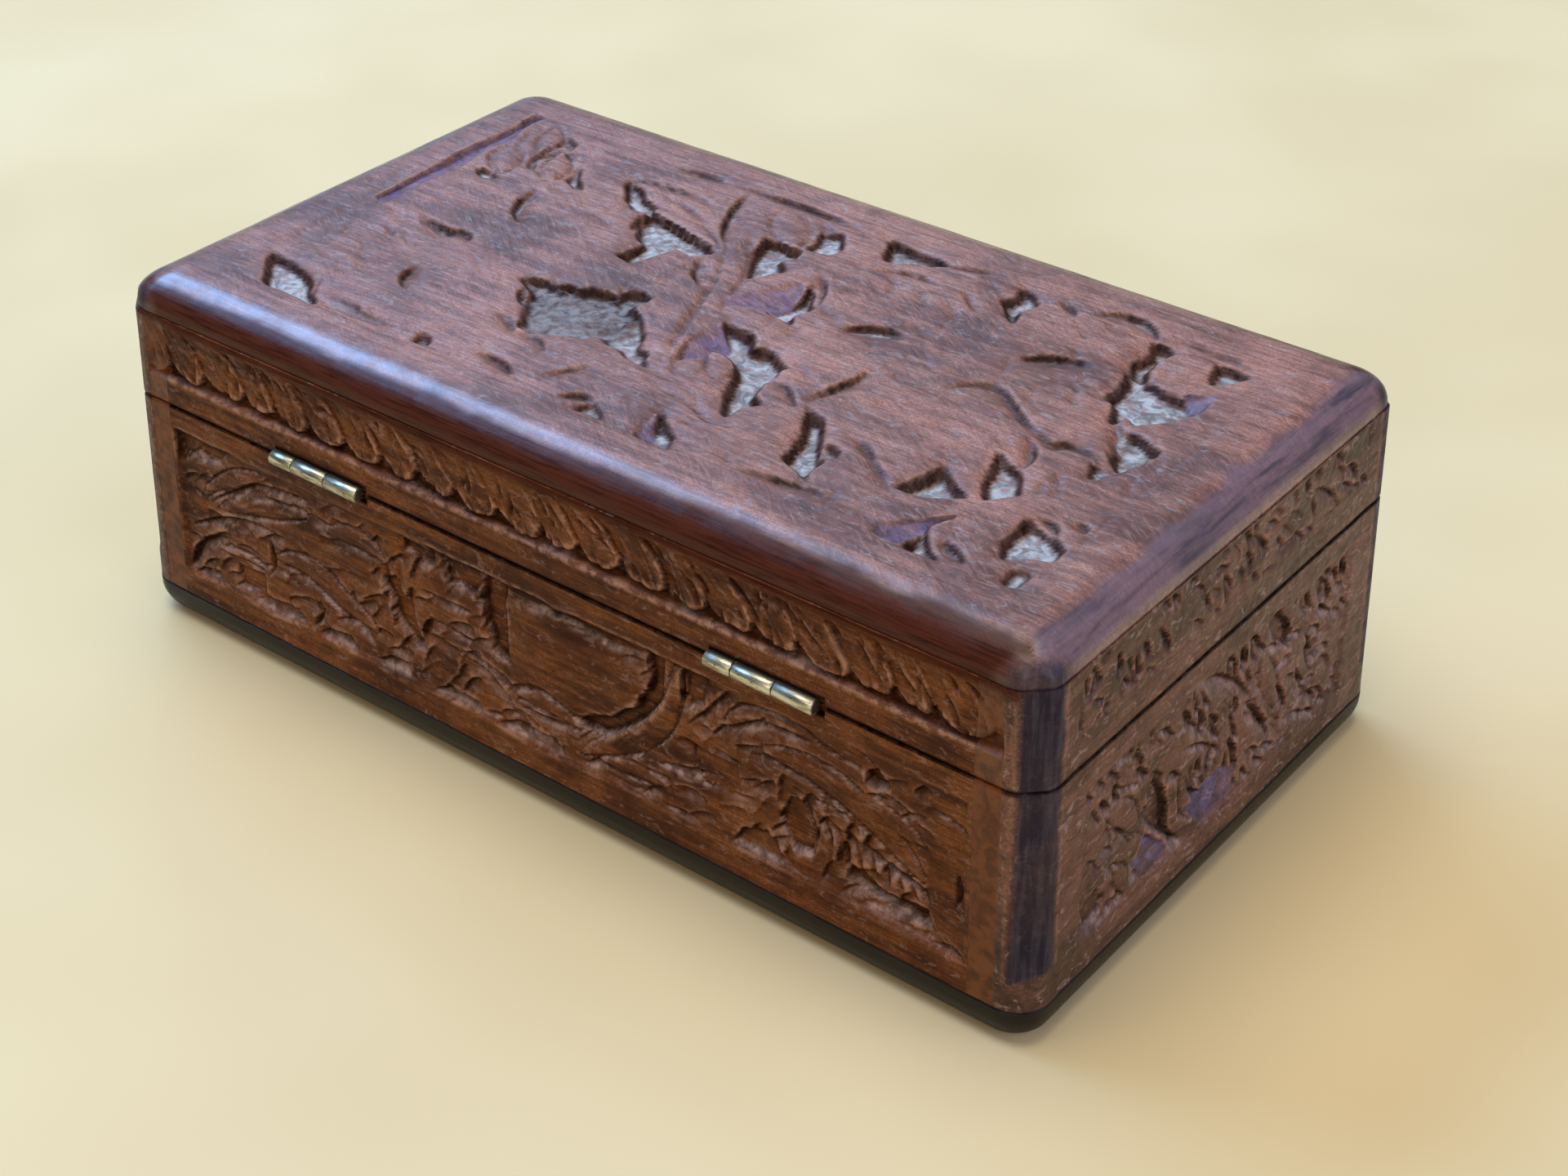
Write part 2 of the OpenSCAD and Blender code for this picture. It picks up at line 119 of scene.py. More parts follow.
# The lid's panel: outline and depth of each sunk pocket
TOP_POCKETS = [
    ([(-67.5, 35.5), (-63, 33.5), (-62.5, 31), (-65.5, 32)], 1.2),
    ([(-63.5, 30), (-62.5, 28), (-64, 25.5), (-63.5, 23), (-61.5, 20.5), (-64, 20.8), (-66.3, 24),
      (-65.8, 27)], 1.4),
    ([(-58, 28.5), (-55.5, 26), (-53.5, 23), (-50, 20), (-52, 19.3), (-55, 21), (-56.5, 24)], 1.4),
    ([(-47, 28.3), (-43, 27), (-39, 24), (-35.3, 23), (-35.2, 20.2), (-38.5, 19.6), (-41.8, 21.5),
      (-45, 25)], 1.6),
    ([(-36, 20.5), (-30, 20), (-25, 19), (-20, 17), (-17.3, 15), (-19.5, 12.3), (-23.5, 13), (-24.8, 9),
      (-25.5, 4.6), (-29.2, 5), (-29.3, 11), (-32, 12.8), (-34.3, 15.5)], 2),
    ([(-13.9, 24.2), (-9.5, 25.6), (-6.3, 24.6), (-6, 22), (-7.6, 20.7), (-4.6, 17.8), (-6.5, 13.5),
      (-7.4, 11.5), (-10.5, 16.3), (-12.6, 20)], 2),
    ([(-8.6, 33), (-4.6, 33.4), (-1.6, 29.8), (-1.8, 26), (-6.2, 25.7), (-6.5, 29.3)], 1.6),
    ([(2, 37.2), (7.3, 36.8), (12.6, 36.4), (15.8, 34.8), (10, 32.9), (8.9, 31.3), (5.7, 30.6),
      (4.2, 34)], 2),
    ([(2.3, 16.8), (4.7, 14), (7.1, 9.8), (5.9, 6.3), (7.5, 3.4), (2, 4.8), (1.7, 7.2), (3.4, 11)], 2),
    ([(29.3, 36.3), (32, 35.6), (34.4, 33.2), (33.2, 29.6), (34.8, 24.7), (32.4, 26.3), (28.9, 30.2),
      (30, 32.4)], 1.8),
    ([(54.5, 33.6), (59, 33.4), (58.2, 29.6), (58.6, 26), (60, 22.3), (57.2, 23), (55.2, 26), (56, 30.4)], 2),
    ([(65.8, 33.8), (72, 33.4), (70.6, 28.8), (68.2, 27.5), (66.4, 30.8)], 1.8),
    ([(56.7, 23.2), (60.2, 22.8), (67, 21.6), (71, 21), (70.2, 17.3), (68.7, 14.4), (65.8, 10.4), (63.5, 12),
      (62.6, 7.6), (61.8, 10.2), (60.2, 13.6), (58.4, 13.6), (58, 19.3)], 2.2),
    ([(65, 8.2), (68.5, 7.6), (72.7, 5.4), (72.2, 0.7), (70.5, -2.7), (68.4, -0.5), (66.8, 3.5)], 2),
    ([(54.5, -8.8), (59.4, -10.8), (61.2, -12.5), (63.2, -16.5), (59.8, -20.3), (58, -18), (56.4, -14.5)], 2),
    ([(66.3, -2.6), (70.2, -2.8), (70, -5.6), (68.4, -7.2)], 1.4),
    ([(50.5, -16.2), (53.9, -19.2), (58.4, -21.4), (53, -25), (48.2, -25.5), (49.6, -20.9)], 2),
    ([(25.8, -16.1), (29.4, -16.8), (32.6, -21.6), (36.2, -26.4), (36.4, -30), (37.6, -31.6), (31.3, -29),
      (30.6, -26.8), (29, -21.7)], 2),
    ([(33.3, -22), (36.6, -22.3), (37.4, -24.6), (34.8, -25.2)], 1.5),
    ([(57.2, -30.4), (59, -33), (62.6, -35.6), (64.4, -37.3), (57.8, -37.3)], 1.8),
    ([(67.6, -20.6), (70.2, -21.5), (73, -22.5), (75.7, -24), (75.8, -28), (71.7, -29.8), (70, -31.5),
      (68, -28)], 1.8),
    ([(72.4, -32), (75.8, -31.6), (76, -36), (73.3, -36.2)], 1.4),
    ([(-0.8, -1.6), (3, -2.2), (5.6, -3.2), (7.4, -6), (9.2, -4.6), (12.2, -5.8), (15.6, -7.4), (15.2, -10),
      (15.6, -13.7), (16.6, -17), (19, -18.6), (17.4, -21), (16.9, -25.2), (13.2, -20), (10, -13.3),
      (6.9, -10.6), (3.3, -12.1), (0.9, -15.5), (-1.2, -11)], 2.2),
    ([(-74.7, -28.6), (-70.5, -29.2), (-66, -29.8), (-62.3, -31.8), (-60.8, -34), (-57.8, -34.8),
      (-56.4, -37.3), (-68, -37.4), (-70.2, -35), (-73, -32)], 2),
    ([(-60, -34.6), (-55.7, -33), (-52, -33.2), (-48, -34.3), (-44, -33.6), (-41.3, -36.6), (-47, -37),
      (-55, -37)], 1.1),
    ([(-36.4, -33.6), (-33.5, -34), (-32.1, -36.2), (-35, -37.2)], 1.2),
    ([(-0.9, -33.3), (1.3, -34.8), (4.8, -37.2), (-1.7, -37.2)], 1.4),
    ([(8.6, -29.2), (11, -31.2), (15, -33.8), (16.6, -37.2), (10.3, -37.2)], 1.7),
    ([(-70.9, 15.8), (-67.5, 16.2), (-64.6, 14.6), (-66.5, 13.4), (-69.5, 13.9)], 1.3),
]
# The chipped recess left of the middle
CHIPPED_RECESS = [
    (-36, -11.2), (-32, -9.4), (-26.4, -8.4), (-24.4, -6.4), (-20.2, -6.2), (-18.8, -2.8), (-15.2, -3.2),
    (-16, -7.2), (-10, -11.4), (-6.4, -16.6), (0.4, -20.6), (-5, -20.3), (-9.4, -18.6), (-13.2, -18),
    (-17.3, -20.2), (-22.9, -23.4), (-25.8, -22.2), (-28.6, -18.6), (-32.2, -13),
]
# Smooth slopes: outline, where the slope starts and ends, and the depths there
TOP_SLOPES = [
    ([(0.9, 15.6), (2.7, 12.6), (3.6, 8.6), (2, 5.2), (-4.6, 2), (-6, 4.3), (-2.2, 10.8)],
     (-4, 8), (3, 5), (0, 1.8)),
    ([(-1.5, -2.4), (4.3, -7.2), (3.5, -12.1), (0.9, -15.5), (-1.2, -11)], (-2, -8), (4, -9.5), (0.2, 2)),
    ([(52, -35.4), (55.3, -31), (59.6, -26.8), (57.8, -31), (56.8, -37.2), (53, -37)],
     (52.5, -33), (58, -35), (0, 1.7)),
    ([(67, 22.5), (71.4, 25), (70.8, 20), (69, 20)], (71, 24.5), (68.5, 20.5), (0, 1.6)),
    ([(8.5, -29.2), (13.4, -36.9), (10.2, -37)], (9, -34), (12.5, -36), (0.2, 1.6)),
    ([(-77.4, 38.2), (-75, 38), (-75.4, 33), (-73.4, 27), (-74.6, 20), (-72.6, 12), (-73.4, 5), (-71.4, -2),
      (-73.4, -6), (-75.8, -4), (-76.2, 8), (-77.2, 20), (-76.4, 30)], (-72.6, 16), (-76.4, 16), (0.1, 1)),
]
# Gouge cuts: points of the stroke, width, depth, and how far the bottom leans to the left of the stroke
TOP_GOUGES = [
    ([(-26.2, 37), (-21.8, 29), (-17, 18.3)], 3.2, 1.5, -0.7),
    ([(-35.6, 19.8), (-34, 17), (-32.8, 13)], 1.5, 1.3, -0.3),
    ([(-55.5, 15), (-53, 9.5), (-48.8, 3.6)], 2.8, 1.5, -0.6),
    ([(-64.6, -5), (-58, -7.4), (-54, -6), (-51.5, -7.8)], 2.6, 1.6, 0.5),
    ([(-51.6, -17.5), (-50, -21.5), (-47.2, -25.4)], 2.2, 1.3, -0.5),
    ([(-46.5, 25.8), (-44, 28.4), (-38, 28.8), (-31, 28.6), (-26, 27)], 1.7, 1, 0.5),
    ([(-36.5, 26.7), (-30, 24.2), (-22.5, 21.2)], 1.3, 0.9, 0.4),
    ([(-17.9, 13.4), (-14.6, 9.6), (-10.4, 4.4)], 2.4, 1.3, -0.4),
    ([(-19.4, 22.5), (-13, 10.5), (-6.8, -4), (-2, -15), (0.8, -20.3)], 1.2, 0.8, 0.3),
    ([(-13.6, 20), (-7.6, 11.5), (-4.2, 2), (-1.4, -3)], 1, 0.7, -0.3),
    ([(-1, -11), (1.6, -17), (5, -21.5)], 1, 0.7, -0.3),
    ([(0.2, 20.6), (4.4, 15), (7.6, 9.6)], 1.3, 1.2, 0.4),
    ([(14.9, 6.2), (19, 8.4), (24.6, 10.9)], 3, 1.5, 0.5),
    ([(42, 15), (46.5, 17.8), (53, 20.3)], 2.8, 1.5, 0.5),
    ([(38.4, 1), (41, 4.4), (44.3, 5.2), (48, 2.6), (53, -0.6), (59, -3.2)], 1.9, 1.3, 0.5),
    ([(53.6, -0.4), (59.8, -3.4), (62, -1.8), (69, -2.4)], 1.7, 1.3, 0.4),
    ([(26.2, 0), (27.6, -4.6), (26.4, -10), (24.5, -15.2)], 2.4, 1.4, -0.6),
    ([(15, -12.6), (18, -13.4), (21.5, -16), (24.4, -17.6)], 1.7, 1.2, 0.5),
    ([(7.4, 25.4), (10.5, 27.8), (15, 28.2), (19.2, 27.8)], 1.5, 1, 0.5),
    ([(22.4, 29.8), (26, 27), (29, 24)], 1.4, 0.9, -0.4),
    ([(15.4, 34.8), (20, 35.6), (25.8, 37.2)], 1.3, 1, 0.4),
    ([(36.6, 35.4), (39, 33.4), (41.6, 31.6)], 1.8, 1, 0.4),
    ([(44.4, 34.8), (46.5, 36.4), (51, 36), (55.4, 33.6)], 2.4, 1.4, 0.5),
    ([(45.6, 33.6), (49, 32.2), (54, 33)], 1.2, 0.8, 0),
    ([(34.4, -18.6), (38.8, -20.5), (43.2, -24), (48, -25.8)], 1.5, 1.1, 0.5),
    ([(26.5, -36.2), (36, -35.2), (46.4, -33)], 1.8, 1.2, 0.5),
    ([(55.6, -3), (57.4, -6.6), (59.6, -10.8)], 2.2, 1.3, 0.3),
    ([(62.4, 9.6), (65.4, 4.5), (69, -1.7)], 2.2, 1.5, 0.3),
    ([(60.4, -32.8), (63.5, -35.2), (67.4, -36.5)], 2.2, 1.4, 0.4),
    ([(68, -20.4), (70.5, -21.2), (73.2, -23)], 1.6, 1.2, 0.4),
    ([(72.8, -18.6), (74.3, -19), (76, -20.2)], 1.5, 1.2, 0.4),
    ([(-24.9, -33.9), (-20, -34.6), (-15, -36.3)], 2, 1.3, 0.5),
    ([(-11.2, -33.6), (-9, -30.2), (-6.4, -26.2)], 1.8, 0.9, 0.6),
    ([(-5.4, -36.4), (-3, -34.6), (-0.4, -33.8)], 1.6, 1.2, 0.5),
    ([(-31, -22), (-27, -24.4), (-24.4, -26.6)], 1.6, 1, 0.4),
    ([(-25.6, -25), (-20, -25.8), (-16.5, -28.4)], 1.8, 1.1, 0.5),
    ([(5.5, -25.6), (10.9, -24.6), (16, -26.6), (21, -27.2)], 1.6, 0.8, -0.4),
    ([(-43, 36.6), (-38, 36.2), (-31, 36.8)], 1.8, 1.3, 0.4),
    ([(-29.6, 37.2), (-22, 36.8), (-12, 36.6), (-2, 36.2)], 1.9, 1.3, 0.4),
    ([(24, -12), (32, -11.6), (40, -13.6)], 0.9, 0.4, 0),
    ([(-45, 8), (-38, 6.4), (-31, 2)], 0.9, 0.35, 0),
    ([(56, 36.6), (63, 35.4), (72, 35.2)], 1.2, 0.9, 0.4),
]
# Deep ragged cuts along the edges of the chipped recess
RECESS_GOUGES = [
    ([(-35.8, -10.6), (-33, -10.4), (-30.6, -9.2)], 1.7, 2.5, 0.4),
    ([(-30.2, -9.6), (-28, -8.8), (-25.6, -9.2)], 1.4, 2.5, 0.4),
    ([(-24.4, -8), (-21, -6.8), (-18.8, -7)], 1.7, 2.5, 0.4),
    ([(-18.6, -5.6), (-17.2, -3.8), (-15.2, -4.4)], 1.7, 2.4, 0.4),
    ([(-33.4, -12.6), (-31.4, -15.4), (-28.8, -17.4)], 1.4, 2.2, -0.4),
    ([(-26.6, -21.4), (-24.4, -22.4), (-22.4, -21.8)], 1.4, 2.2, -0.4),
    ([(-21.6, -21.6), (-19.4, -20.8), (-17, -19.4)], 1.4, 2.2, -0.4),
    ([(-13.8, -16.8), (-11, -17.6), (-8.6, -17.2)], 1.6, 2.2, 0.4),
    ([(-10.6, -12.6), (-9, -14.2), (-7, -16.2)], 1.6, 2.4, 0.4),
    ([(-15.4, -8.4), (-13, -10), (-10.8, -11.2)], 1.6, 2.4, 0.4),
]
# Raised petals: points of the spine, width and height above the ground round them
TOP_PETALS = [
    ([(-70.5, 36), (-68, 31.5), (-66.6, 27.6)], 4.4, 0.9),
    ([(-62.4, 28.6), (-59.8, 24), (-57.4, 19)], 5.4, 1),
    ([(-72, 26), (-69.4, 21.5), (-66, 17)], 5.8, 0.9),
    ([(-75, 34), (-73.6, 29), (-71.6, 25.5)], 3.4, 0.7),
    ([(3.6, -11.4), (6.8, -13), (9.6, -17)], 4.6, 0.9),
    ([(-17, 34.5), (-13, 30.5), (-8.6, 25.4)], 7, 0.6),
    ([(-35, 21.6), (-27, 20.6), (-19, 17.6)], 3.4, 0.6),
    ([(1.6, -23.4), (6.4, -23.3), (11, -24.6)], 3, 0.6),
]
# Where fine veins fan out over the leaves: middle, length, slant, spread of the slant, count and bow
TOP_VEINS = [
    ((-42, 31), 22, -14, 14, 9, 0.1),
    ((-36, 24), 15, -20, 18, 7, 0.12),
    ((-60, 2), 20, -35, 20, 10, 0.1),
    ((-62, -14), 22, -28, 16, 11, 0.08),
    ((-44, -4), 18, -38, 14, 9, 0.1),
    ((-40, -26), 20, -8, 12, 8, 0.1),
    ((12, 30), 16, -4, 16, 7, 0.14),
    ((38, 26), 24, -26, 16, 10, 0.08),
    ((24, 0), 20, -34, 18, 9, 0.1),
    ((40, -8), 24, -30, 14, 11, 0.08),
    ((12, -30), 26, -8, 10, 8, 0.08),
    ((-20, 1), 14, -58, 14, 6, 0.1),
    ((62, -27), 12, -60, 14, 6, 0.1),
    ((30, -31), 20, 4, 12, 7, 0.1),
]

# The long sides of the body, in the same forms as the panel, from the middle of the carved field
LONG_POCKETS = [
    ([(-10.4, 12.9), (-6, 12.9), (-5.4, 6), (-5.6, -1.6), (-8.6, -0.4), (-10.2, 4)], 1.5),
    ([(22.2, 13.2), (25, 13.2), (25, 5), (22.6, 1), (18.6, -2.9), (13.5, -6.2), (7.6, -7), (9.4, -4.6),
      (15, -1.8), (19.3, 2), (22.2, 6.5)], 1.6),
    ([(-26.8, 12.8), (-20.5, 12.9), (-20.1, 10.4), (-23, 9.3), (-26.8, 10.4)], 1.3),
    ([(-19.3, 13), (-11, 12.8), (-10.4, 10.6), (-12, 8), (-15, 8.8), (-17.4, 7.6)], 1.3),
    ([(-32, 3.8), (-29, 5), (-25.8, 0), (-23, -6.3), (-25.4, -7), (-29.4, -3)], 1.5),
    ([(-66.5, -7.4), (-59.7, -7.3), (-59.4, -11.6), (-65.8, -11.8)], 0.9),
    ([(57.4, -6.8), (64, -8.4), (71.8, -8.2), (72.4, -10.8), (64, -10.8), (58, -9.8)], 1.7),
    ([(47.6, -0.4), (51.6, -1.6), (52.8, -5), (52, -8.4), (48.6, -9.2), (46.4, -5)], 1.1),
    ([(61.4, 10.2), (63.2, 11.8), (65.3, 9.4), (64, 8.2), (61.6, 8.4)], 1.4),
    ([(31, 0.4), (38.8, 1.2), (39.2, -3.9), (33, -5.4), (31, -4)], 0.7),
    ([(-5.6, 12.9), (22.2, 12.9), (22, 11.2), (15, 10.8), (6, 11.6), (-5.4, 10.8)], 0.9),
    ([(-78.6, 12.9), (-66, 12.9), (-69, 10), (-74, 10.8), (-77.4, 8)], 0.9),
    ([(28.4, 12.9), (33.4, 12.9), (32.6, 7.6), (29.4, 6)], 1.2),
]
LONG_GOUGES = [
    ([(-71, 2.4), (-63, 6.7), (-58, 8.8), (-45.6, 11)], 2.2, 1.4, 0.3),
    ([(-76.6, -4.2), (-66, 0), (-54.8, 2.2)], 1.8, 1.2, 0.3),
    ([(-77.2, -13.2), (-74.8, -9), (-71.2, -6.2), (-66.6, -3.4)], 3, 1.5, 0.2),
    ([(-74, 1.4), (-66, 8), (-57, 12.4)], 1.2, 0.7, -0.3),
    ([(-16.4, -3.2), (-10, -4), (-3.4, -5.8)], 1.6, 1.3, 0.2),
    ([(-16.2, -4.2), (-10, -7), (-3.8, -9.9)], 3.4, 1.2, 0.7),
    ([(24.2, -5.6), (31, -4.7), (38, -2)], 1.7, 1.2, 0.2),
    ([(33, 2), (38.5, 7), (43.7, 9.1), (52.4, 10.7)], 2.2, 1.4, 0.3),
    ([(12.8, -11.4), (20, -9.7), (26.6, -7.2)], 2.2, 1.2, 0.4),
    ([(-49.4, -7.6), (-47.4, -9.6), (-45.2, -11.6)], 1.6, 1.1, 0),
    ([(-46.8, -6.8), (-47, -9.4), (-48.4, -12.4)], 1.5, 1.1, 0),
    ([(-58.4, 1.2), (-57.6, -3), (-58.2, -7)], 1.8, 1, 0),
    ([(-35.5, 6.6), (-32.6, 5.4), (-30.6, 2)], 2.4, 1.1, 0.2),
    ([(-52.6, 1.8), (-46.4, -0.4), (-39.6, -3.3)], 1, 0.5, 0.4),
    ([(-43, -9), (-38, -8.2), (-34, -10.4)], 1.8, 1.1, 0.2),
    ([(61.6, 7), (67, 4.4), (70.8, 2)], 1.6, 0.9, -0.3),
    ([(71, 9.4), (75, 8.8), (79, 7.6)], 1, 0.6, 0.3),
    ([(76.5, 1), (76.8, -2), (76.6, -5.4)], 1.3, 0.9, 0),
    ([(47, 1.6), (58, 0.4), (66, -2.4), (73, -7.4)], 1.2, 0.7, 0.5),
    ([(-4.4, -3.6), (1.5, -3), (8.4, -5)], 1.2, 0.8, -0.3),
    ([(-3, -7.6), (3, -8.4), (9, -7.2)], 2, 0.8, 0.2),
    ([(38.6, 11.4), (45, 12.4), (52, 12.6)], 1.2, 0.8, 0.2),
    ([(-62, -6), (-55, -5.2), (-50, -6.6)], 1.2, 0.7, 0.2),
    ([(-24, 5), (-18, 4), (-12, 5)], 1.6, 0.9, 0.2),
    ([(-23, 0.5), (-17, -0.8), (-11, -0.2)], 1.6, 0.9, 0.2),
    ([(29.4, 3.4), (33, 6.4), (36, 11)], 1.4, 0.9, 0.2),
]
LONG_PETALS = [
    ([(-72.5, 4), (-65, 9), (-57.4, 12)], 3, 0.6),
    ([(-69, 2), (-60, 5.4), (-49, 8)], 3.6, 0.6),
    ([(-69.8, -6.2), (-64.6, -5.6), (-59.3, -6)], 1.7, 0.8),
    ([(9.4, -10.4), (15, -6.8), (21.5, -2.2), (26, 4), (28, 12.4)], 4.2, 0.6),
    ([(-3.8, -5.8), (2, -5), (8.6, -6.4)], 3.2, 0.7),
    ([(51.8, 13), (57, 12.4), (62.4, 11.6)], 3.4, 0.5),
    ([(61, 6), (66, 4), (71, 2.8)], 3.6, 0.6),
    ([(44, 6), (53, 6), (62, 3), (71, -3)], 5.4, 0.7),
    ([(-56, -2.4), (-49, -1.6), (-40, -5), (-34, -7)], 4.6, 0.7),
    ([(36.6, 7), (40, 10), (44, 11.8)], 2.6, 0.6),
    ([(-44, 7.4), (-37, 8.6), (-31, 7.2)], 3.6, 0.6),
    ([(13, -10.2), (20, -9), (26, -9)], 2.6, 0.5),
]
LONG_VEINS = [
    ((-60, 6), 16, 22, 8, 5, 0.1),
    ((-46, -3), 14, -20, 12, 5, 0.1),
    ((10, 1), 18, -10, 10, 6, 0.08),
    ((56, 4), 16, -20, 14, 6, 0.1),
    ((20, -3), 14, 44, 8, 4, 0.08),
]
# Outlines of the slopes that face up, along the foot of the field
LONG_LEDGES = [
    [(-77, -14.2), (-75, -12), (-71, -11.2), (-68.4, -13.6)],
    [(-64, -13.9), (-60, -11.6), (-54, -10.8), (-50, -12), (-49.6, -13.6)],
    [(-48.4, -13.6), (-45, -11.6), (-40, -11), (-37.6, -13.2)],
    [(-34.4, -12.8), (-31, -10.9), (-27, -10.6), (-26.6, -12.7)],
    [(-22, -12.8), (-18, -11), (-12, -11.2), (-11, -13)],
    [(-9, -13.2), (-4, -11), (4, -10.8), (6, -13)],
    [(37.6, -13.4), (40, -9.6), (44, -8.6), (47, -11), (46.8, -13.3)],
    [(62.6, -12.2), (65, -10.2), (69, -10.4), (69, -12)],
    [(72, -13), (76, -12), (79, -13), (78, -14)],
]
# The fan of curved ribs in the last leaf of a long side
FAN_RIBS = 9
FAN_START, FAN_END = (47.6, 0.8), (66.6, -4.4)
FAN_TIP_START, FAN_TIP_END = (52.4, -8.4), (72.4, -7.2)

# The ends of the body, in the same forms
END_POCKETS = [
    ([(-20, 2.6), (-17.2, 3), (-15, 0), (-13.8, -5), (-12.8, -8.2), (-10, -12.2), (-12.6, -11), (-15.6, -7.8),
      (-18.6, -4.6), (-19.4, -0.6)], 1.6),
    ([(13.6, 13.2), (16.6, 12.8), (19.8, 9.2), (21.2, 3.9), (18.3, 5.2), (15.4, 8.2)], 1.6),
    ([(26.9, 11.4), (29, 11.8), (31.5, 10), (31, 7.4), (28.4, 8)], 1.3),
    ([(26.2, 2.8), (27.6, 2.4), (28.6, -1), (27.9, -4.4), (26.6, -1.6)], 1.4),
    ([(-36.4, -8), (-33, -6.6), (-29.6, -9), (-31, -12), (-35, -12.4)], 1.1),
]
END_SLOPES = [
    ([(-23.2, -8.2), (-19.3, -6), (-13.4, -11.2), (-14.6, -12.6), (-20.5, -12.2)],
     (-19, -12.4), (-18, -7), (0, 1.4)),
    ([(-8.8, -7.6), (0, -6), (6, -9), (4, -13), (-4, -13.2)], (0, -13.2), (-1, -7), (0, 1)),
]
END_GOUGES = [
    ([(-12.4, 13), (-5, 10.6), (2, 6.8), (9, 1.4)], 3.4, 1.4, 0.5),
    ([(7, 1.6), (10.4, -2.6), (15.6, -9.4)], 2.2, 1.5, 0.3),
    ([(-9.4, -4), (-7, -6.4), (-4, -9.4)], 1.6, 1.3, 0.3),
    ([(16, 0), (18, -3), (20, -7)], 1.6, 1.1, 0.2),
    ([(32, 12.2), (33.4, 10), (35, 7)], 1.4, 1.1, 0.2),
    ([(35.4, 4.8), (37, 3), (39, 0.8)], 1.3, 1.1, 0.2),
    ([(9, -7.6), (11, -9.6), (13.4, -11.4)], 1.7, 1.3, 0.3),
    ([(-30, 8), (-26, 5.6), (-22, 4.8)], 1.6, 0.9, 0.3),
    ([(-34, 10.6), (-30, 12), (-24, 10.8)], 1.6, 0.9, 0.3),
    ([(-33, 2), (-28, -0.4), (-24, -4.6)], 1.8, 1, 0.3),
    ([(-12, 4), (-5, 0.6), (1, -3.6)], 1.6, 0.9, 0.2),
    ([(-14, 8.4), (-8, 6), (-3, 3)], 1.3, 0.8, 0.2),
    ([(-22, 11), (-17, 10), (-13, 7)], 1.5, 0.9, 0.3),
    ([(20, -9.6), (26, -8), (32, -10)], 1.6, 0.8, 0.2),
    ([(22, 0), (24, -4), (26, -7)], 1.2, 0.8, 0.2),
]
END_PETALS = [
    ([(-11, -1), (-9, -6), (-6, -10.4)], 3, 0.6),
    ([(-31, 5), (-26, 2), (-22, -3)], 4.4, 0.6),
    ([(11, 8), (14, 2), (17, -4)], 4.2, 0.5),
    ([(-28, -6), (-26, -9), (-24.6, -12)], 3.4, 0.6),
]
END_VEINS = [
    ((-2, 2), 18, -42, 12, 7, 0.1),
    ((-24, 8), 14, -34, 12, 5, 0.1),
    ((26, 4), 14, -52, 12, 5, 0.1),
    ((0, -10), 20, -18, 12, 6, 0.1),
]

# The lid's band on an end, with v up from its foot
END_BAND_GOUGES = [
    ([(-20.4, 6.4), (-19, 4), (-17.6, 0.8)], 2, 1, 0.4),
    ([(-30, 4), (-28.6, 2), (-27, 0.6)], 1.8, 1, 0.3),
    ([(-37.6, 4.4), (-36, 3), (-34, 2.6)], 2, 0.8, 0.3),
    ([(-8.2, 6), (-7.6, 4), (-6.4, 2.2)], 1.7, 1.1, 0.2),
    ([(5.2, 8), (7, 6), (9.2, 3.2)], 2.4, 1, 0.4),
    ([(12, 5), (13, 3.4), (14.2, 1.6)], 1.6, 1.1, 0.2),
    ([(22.6, 7.6), (27, 4), (31.2, 1)], 2.6, 1, 0.5),
    ([(32.6, 6.6), (35, 5), (36.8, 3)], 2, 1, 0.4),
]


# Number helpers

def ramp(x):
    """Smooth step from 0 to 1."""
    x = np.clip(x, 0, 1)
    return x * x * (3 - 2 * x)


def scatter(ix, iy, seed):
    """Repeatable values from 0 to 1 at whole-number places."""
    n = (ix * 374761393 + iy * 668265263 + seed * 974634777) & 0x7FFFFFFF
    n = ((n ^ (n >> 13)) * 1274126177) & 0x7FFFFFFF
    return ((n ^ (n >> 16)) & 0xFFFF) / 0xFFFF


def noise(x, y, size, seed):
    """Smooth noise from -1 to 1 with features of about the given size."""
    x, y = x / size, y / size
    ix, iy = np.floor(x).astype(np.int64), np.floor(y).astype(np.int64)
    fx, fy = ramp(x - ix), ramp(y - iy)
    low = scatter(ix, iy, seed) * (1 - fx) + scatter(ix + 1, iy, seed) * fx
    high = scatter(ix, iy + 1, seed) * (1 - fx) + scatter(ix + 1, iy + 1, seed) * fx
    return 2 * (low * (1 - fy) + high * fy) - 1


def fractal(x, y, size, seed, octaves=3):
    """Several sizes of noise together."""
    return sum(noise(x, y, size / 2**k, seed + k) / 2**k for k in range(octaves)) / 1.75


def turned(u, v, angle):
    """Coordinates along and across a direction given in degrees."""
    c, s = math.cos(math.radians(angle)), math.sin(math.radians(angle))
    return u * c + v * s, v * c - u * s


def curve(points, per_span=6):
    """Smooth line through points, as a list of points."""
    p = np.array(points, float)
    if len(p) == 2:
        p = np.array([p[0], (p[0] + p[1]) / 2, p[1]])
    p = np.vstack([2 * p[0] - p[1], p, 2 * p[-1] - p[-2]])
    line = []
    for a, b, c, d in zip(p, p[1:], p[2:], p[3:]):
        for t in np.arange(per_span) / per_span:
            line.append(b + t / 2 * (c - a + t * (2 * a - 5 * b + 4 * c - d + t * (3 * (b - c) + d - a))))
    return np.array([*line, p[-2]])


